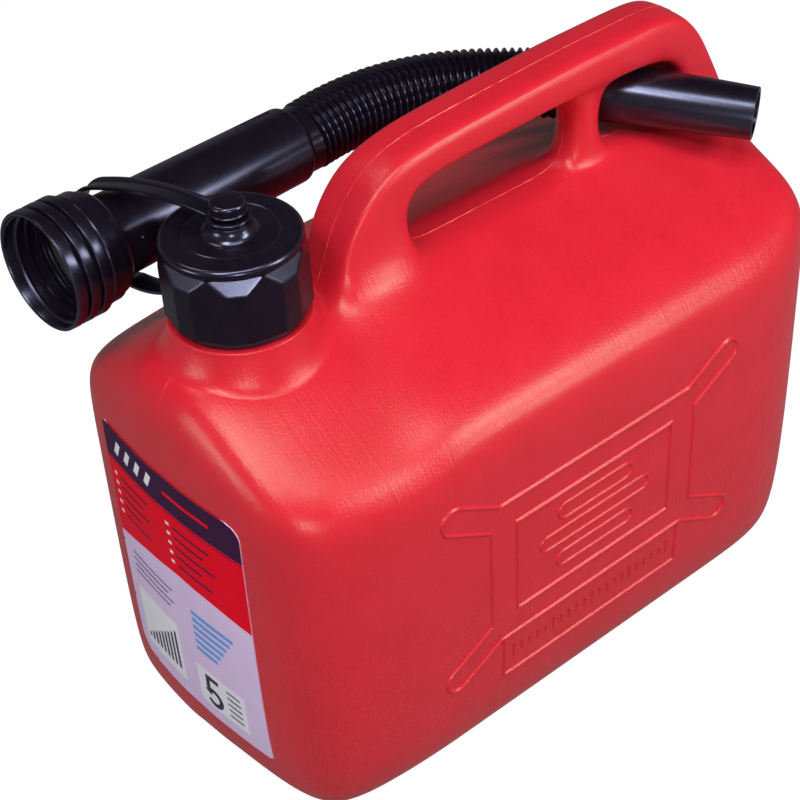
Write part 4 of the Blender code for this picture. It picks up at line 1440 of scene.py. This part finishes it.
def black_material(name, roughness, grain_depth, specular):
    made, shader, tree = new_material(name, BLACK_PLAIN, roughness)
    cloud, wear, grain = BLACK_SCALES
    colour = between(tree, spread(tree, add_noise(tree, cloud), 0, 1), *BLACK_RANGE)
    shades = add_noise(tree, wear, detail=4)
    worn = spread(tree, shades, roughness - BLACK_WEAR, roughness + BLACK_WEAR)
    add_bump(tree, shader, [(add_noise(tree, grain, detail=2), grain_depth)])
    set_shine(tree, shader, colour, worn, specular, BLACK_TINT)
    return made


def cloudy_material(name, plain, roughness, shades, scales, grain_depth):
    """A dull finish with faint clouds between two shades, and a fine grain."""
    made, shader, tree = new_material(name, plain, roughness)
    cloud, grain = scales
    fill(tree, shader, {"Base Color": between(tree, add_noise(tree, cloud), *shades)})
    add_bump(tree, shader, [(add_noise(tree, grain), grain_depth)])
    return made, shader


def print_material(name, colour):
    shades = [[min(1, value * shade) for value in colour] for shade in PRINT_SHADES]
    finish = (PRINT_ROUGHNESS, shades, PRINT_SCALES, PRINT_GRAIN_DEPTH)
    made, shader = cloudy_material(name, colour, *finish)
    shader.inputs["Specular IOR Level"].default_value = PRINT_SPECULAR
    return made


# Stage


def look_from(azimuth, elevation, roll):
    back = heading(azimuth - pi / 2, -elevation)
    level = heading(azimuth, 0)
    upright = back.cross(level)
    right = level * cos(roll) + upright * sin(roll)
    up = upright * cos(roll) - level * sin(roll)
    return right, up, back


def make_camera():
    right, up, back = look_from(CAMERA_AZIMUTH, CAMERA_ELEVATION, CAMERA_ROLL)
    eye = right * CAMERA_RIGHT + up * CAMERA_UP + back * CAMERA_DISTANCE
    data = bpy.data.cameras.new("photo_camera")
    data.sensor_width = SENSOR_WIDTH
    data.lens = SENSOR_WIDTH * CAMERA_FOCAL_PIXELS / PICTURE_PIXELS
    data.shift_x = (PICTURE_PIXELS / 2 - CAMERA_CENTRE_PIXELS[0]) / PICTURE_PIXELS
    data.shift_y = (CAMERA_CENTRE_PIXELS[1] - PICTURE_PIXELS / 2) / PICTURE_PIXELS
    data.clip_start = CAMERA_CLIP
    camera = add_object("photo_camera", data)
    turn = Matrix((right, up, back)).transposed().to_4x4()
    camera.matrix_world = Matrix.Translation(eye) @ turn
    bpy.context.scene.camera = camera


def add_softbox(name, toward, distance, size, strength):
    """A lamp that stands off in a direction from the can's middle. strength is its light there."""
    way = Vector(toward).normalized()
    data = bpy.data.lights.new(name, "AREA")
    data.shape = "RECTANGLE"
    data.size, data.size_y = size
    data.energy = strength * pi**2 * distance**2
    data.color = LAMP_COLOUR
    lamp = add_object(name, data)
    lamp.matrix_world = along(Vector((0, 0, HALF_WIDTH)) + way * distance, way)


def seen_share(tree):
    """How far a ray shows the background: to the eye, through a clear piece and in a gloss."""
    rays = tree.nodes.new("ShaderNodeLightPath")
    seen = rays.outputs["Is Camera Ray"]
    for kind, share in (("Is Transmission Ray", 1), ("Is Glossy Ray", GLOSS_SHARE)):
        shown = combine(tree, "MULTIPLY", rays.outputs[kind], share)
        seen = combine(tree, "MAXIMUM", seen, shown)
    return seen


def make_floor():
    parts = ([], [])
    grid(parts, [[(x, y, 0) for x in (-FLOOR_REACH, FLOOR_REACH)] for y in (-FLOOR_REACH, FLOOR_REACH)])
    made, shader, tree = new_material("paper_floor", FLOOR_COLOUR, FLOOR_ROUGHNESS)
    glow = combine(tree, "MULTIPLY", seen_share(tree), FLOOR_GLOW)
    fill(tree, shader, {"Specular IOR Level": 0, "Emission Color": (*WHITE, 1)})
    fill(tree, shader, {"Emission Strength": glow})
    floor = add_piece("floor", parts, [made])


def make_world():
    """White walls round a dim room, brighter towards the side the photograph was taken from."""
    world = bpy.data.worlds.new("studio")
    bpy.context.scene.world = world
    world.use_nodes = True
    tree = world.node_tree
    back = tree.nodes["Background"]
    toward = Vector(WORLD_TOWARD).normalized()
    facing = add_node(tree, "VectorMath", {0: places_in(tree, "Generated"), 1: toward})
    facing.operation = "DOT_PRODUCT"
    share = spread(tree, facing.outputs["Value"], 0, 1, *WORLD_SPREAD)
    room = between(tree, share, WORLD_DIM, WORLD_BRIGHT)
    wall = spread(tree, height_in(tree, "Generated"), 1, 0, *WALL_TOPS)
    shown = between(tree, combine(tree, "MULTIPLY", wall, seen_share(tree)), room, WHITE)
    tree.links.new(shown, back.inputs["Color"])


def plain(bounds):
    return [[round(value, 6) for value in corner] for corner in bounds]


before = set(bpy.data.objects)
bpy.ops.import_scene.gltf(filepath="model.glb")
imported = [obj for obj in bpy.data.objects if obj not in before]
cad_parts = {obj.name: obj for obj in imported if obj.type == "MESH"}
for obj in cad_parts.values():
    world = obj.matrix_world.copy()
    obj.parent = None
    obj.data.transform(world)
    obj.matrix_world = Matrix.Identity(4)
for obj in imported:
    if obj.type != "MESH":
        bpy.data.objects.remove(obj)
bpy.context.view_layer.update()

bpy.context.scene.view_settings.view_transform = "Standard"
make_camera()
make_world()
make_floor()
for lamp in LAMPS:
    add_softbox(*lamp)

red = red_material()
black, hose_black, tip_black, cap_black, skirt_black = (black_material(*values) for values in BLACKS)
rubber, _ = cloudy_material("nitrile", *RUBBER)
label_finishes = [print_material(*ink) for ink in INKS]

shell, surface, loops = make_shell(red)
pieces = [
    (shell, "can", "can_body", "red_plastic"),
    (make_parting_line(loops, red), "can", None, "red_plastic"),
    (make_emboss(surface, red), "can", None, "red_plastic"),
    (make_label(surface, label_finishes), "can", "front_label", "label_paper"),
    (make_cap(skirt_black, cap_black), "cap", "screw_cap", "black_plastic"),
    (make_collar(black), "collar", "spout_collar", "black_plastic"),
    (make_barrel(black), "can", "spout_barrel", "black_plastic"),
    (make_hose(hose_black), "can", "flex_hose", "black_plastic"),
    (make_tip(tip_black), "can", "spout_tip", "black_plastic"),
]
for piece, body, node, slot in pieces:
    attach(piece, body)
    if node:
        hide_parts(node)
strap_upper, strap_lower, held_point, eye_point = make_strap(cap_black)
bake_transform(strap_upper)
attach(strap_lower, "can")
for piece in (strap_upper, strap_lower):
    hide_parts("cap_strap")
for node in ("cap_seal", "spout_seal"):
    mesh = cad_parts[node].data
    mesh.materials.clear()
    mesh.materials.append(rubber)
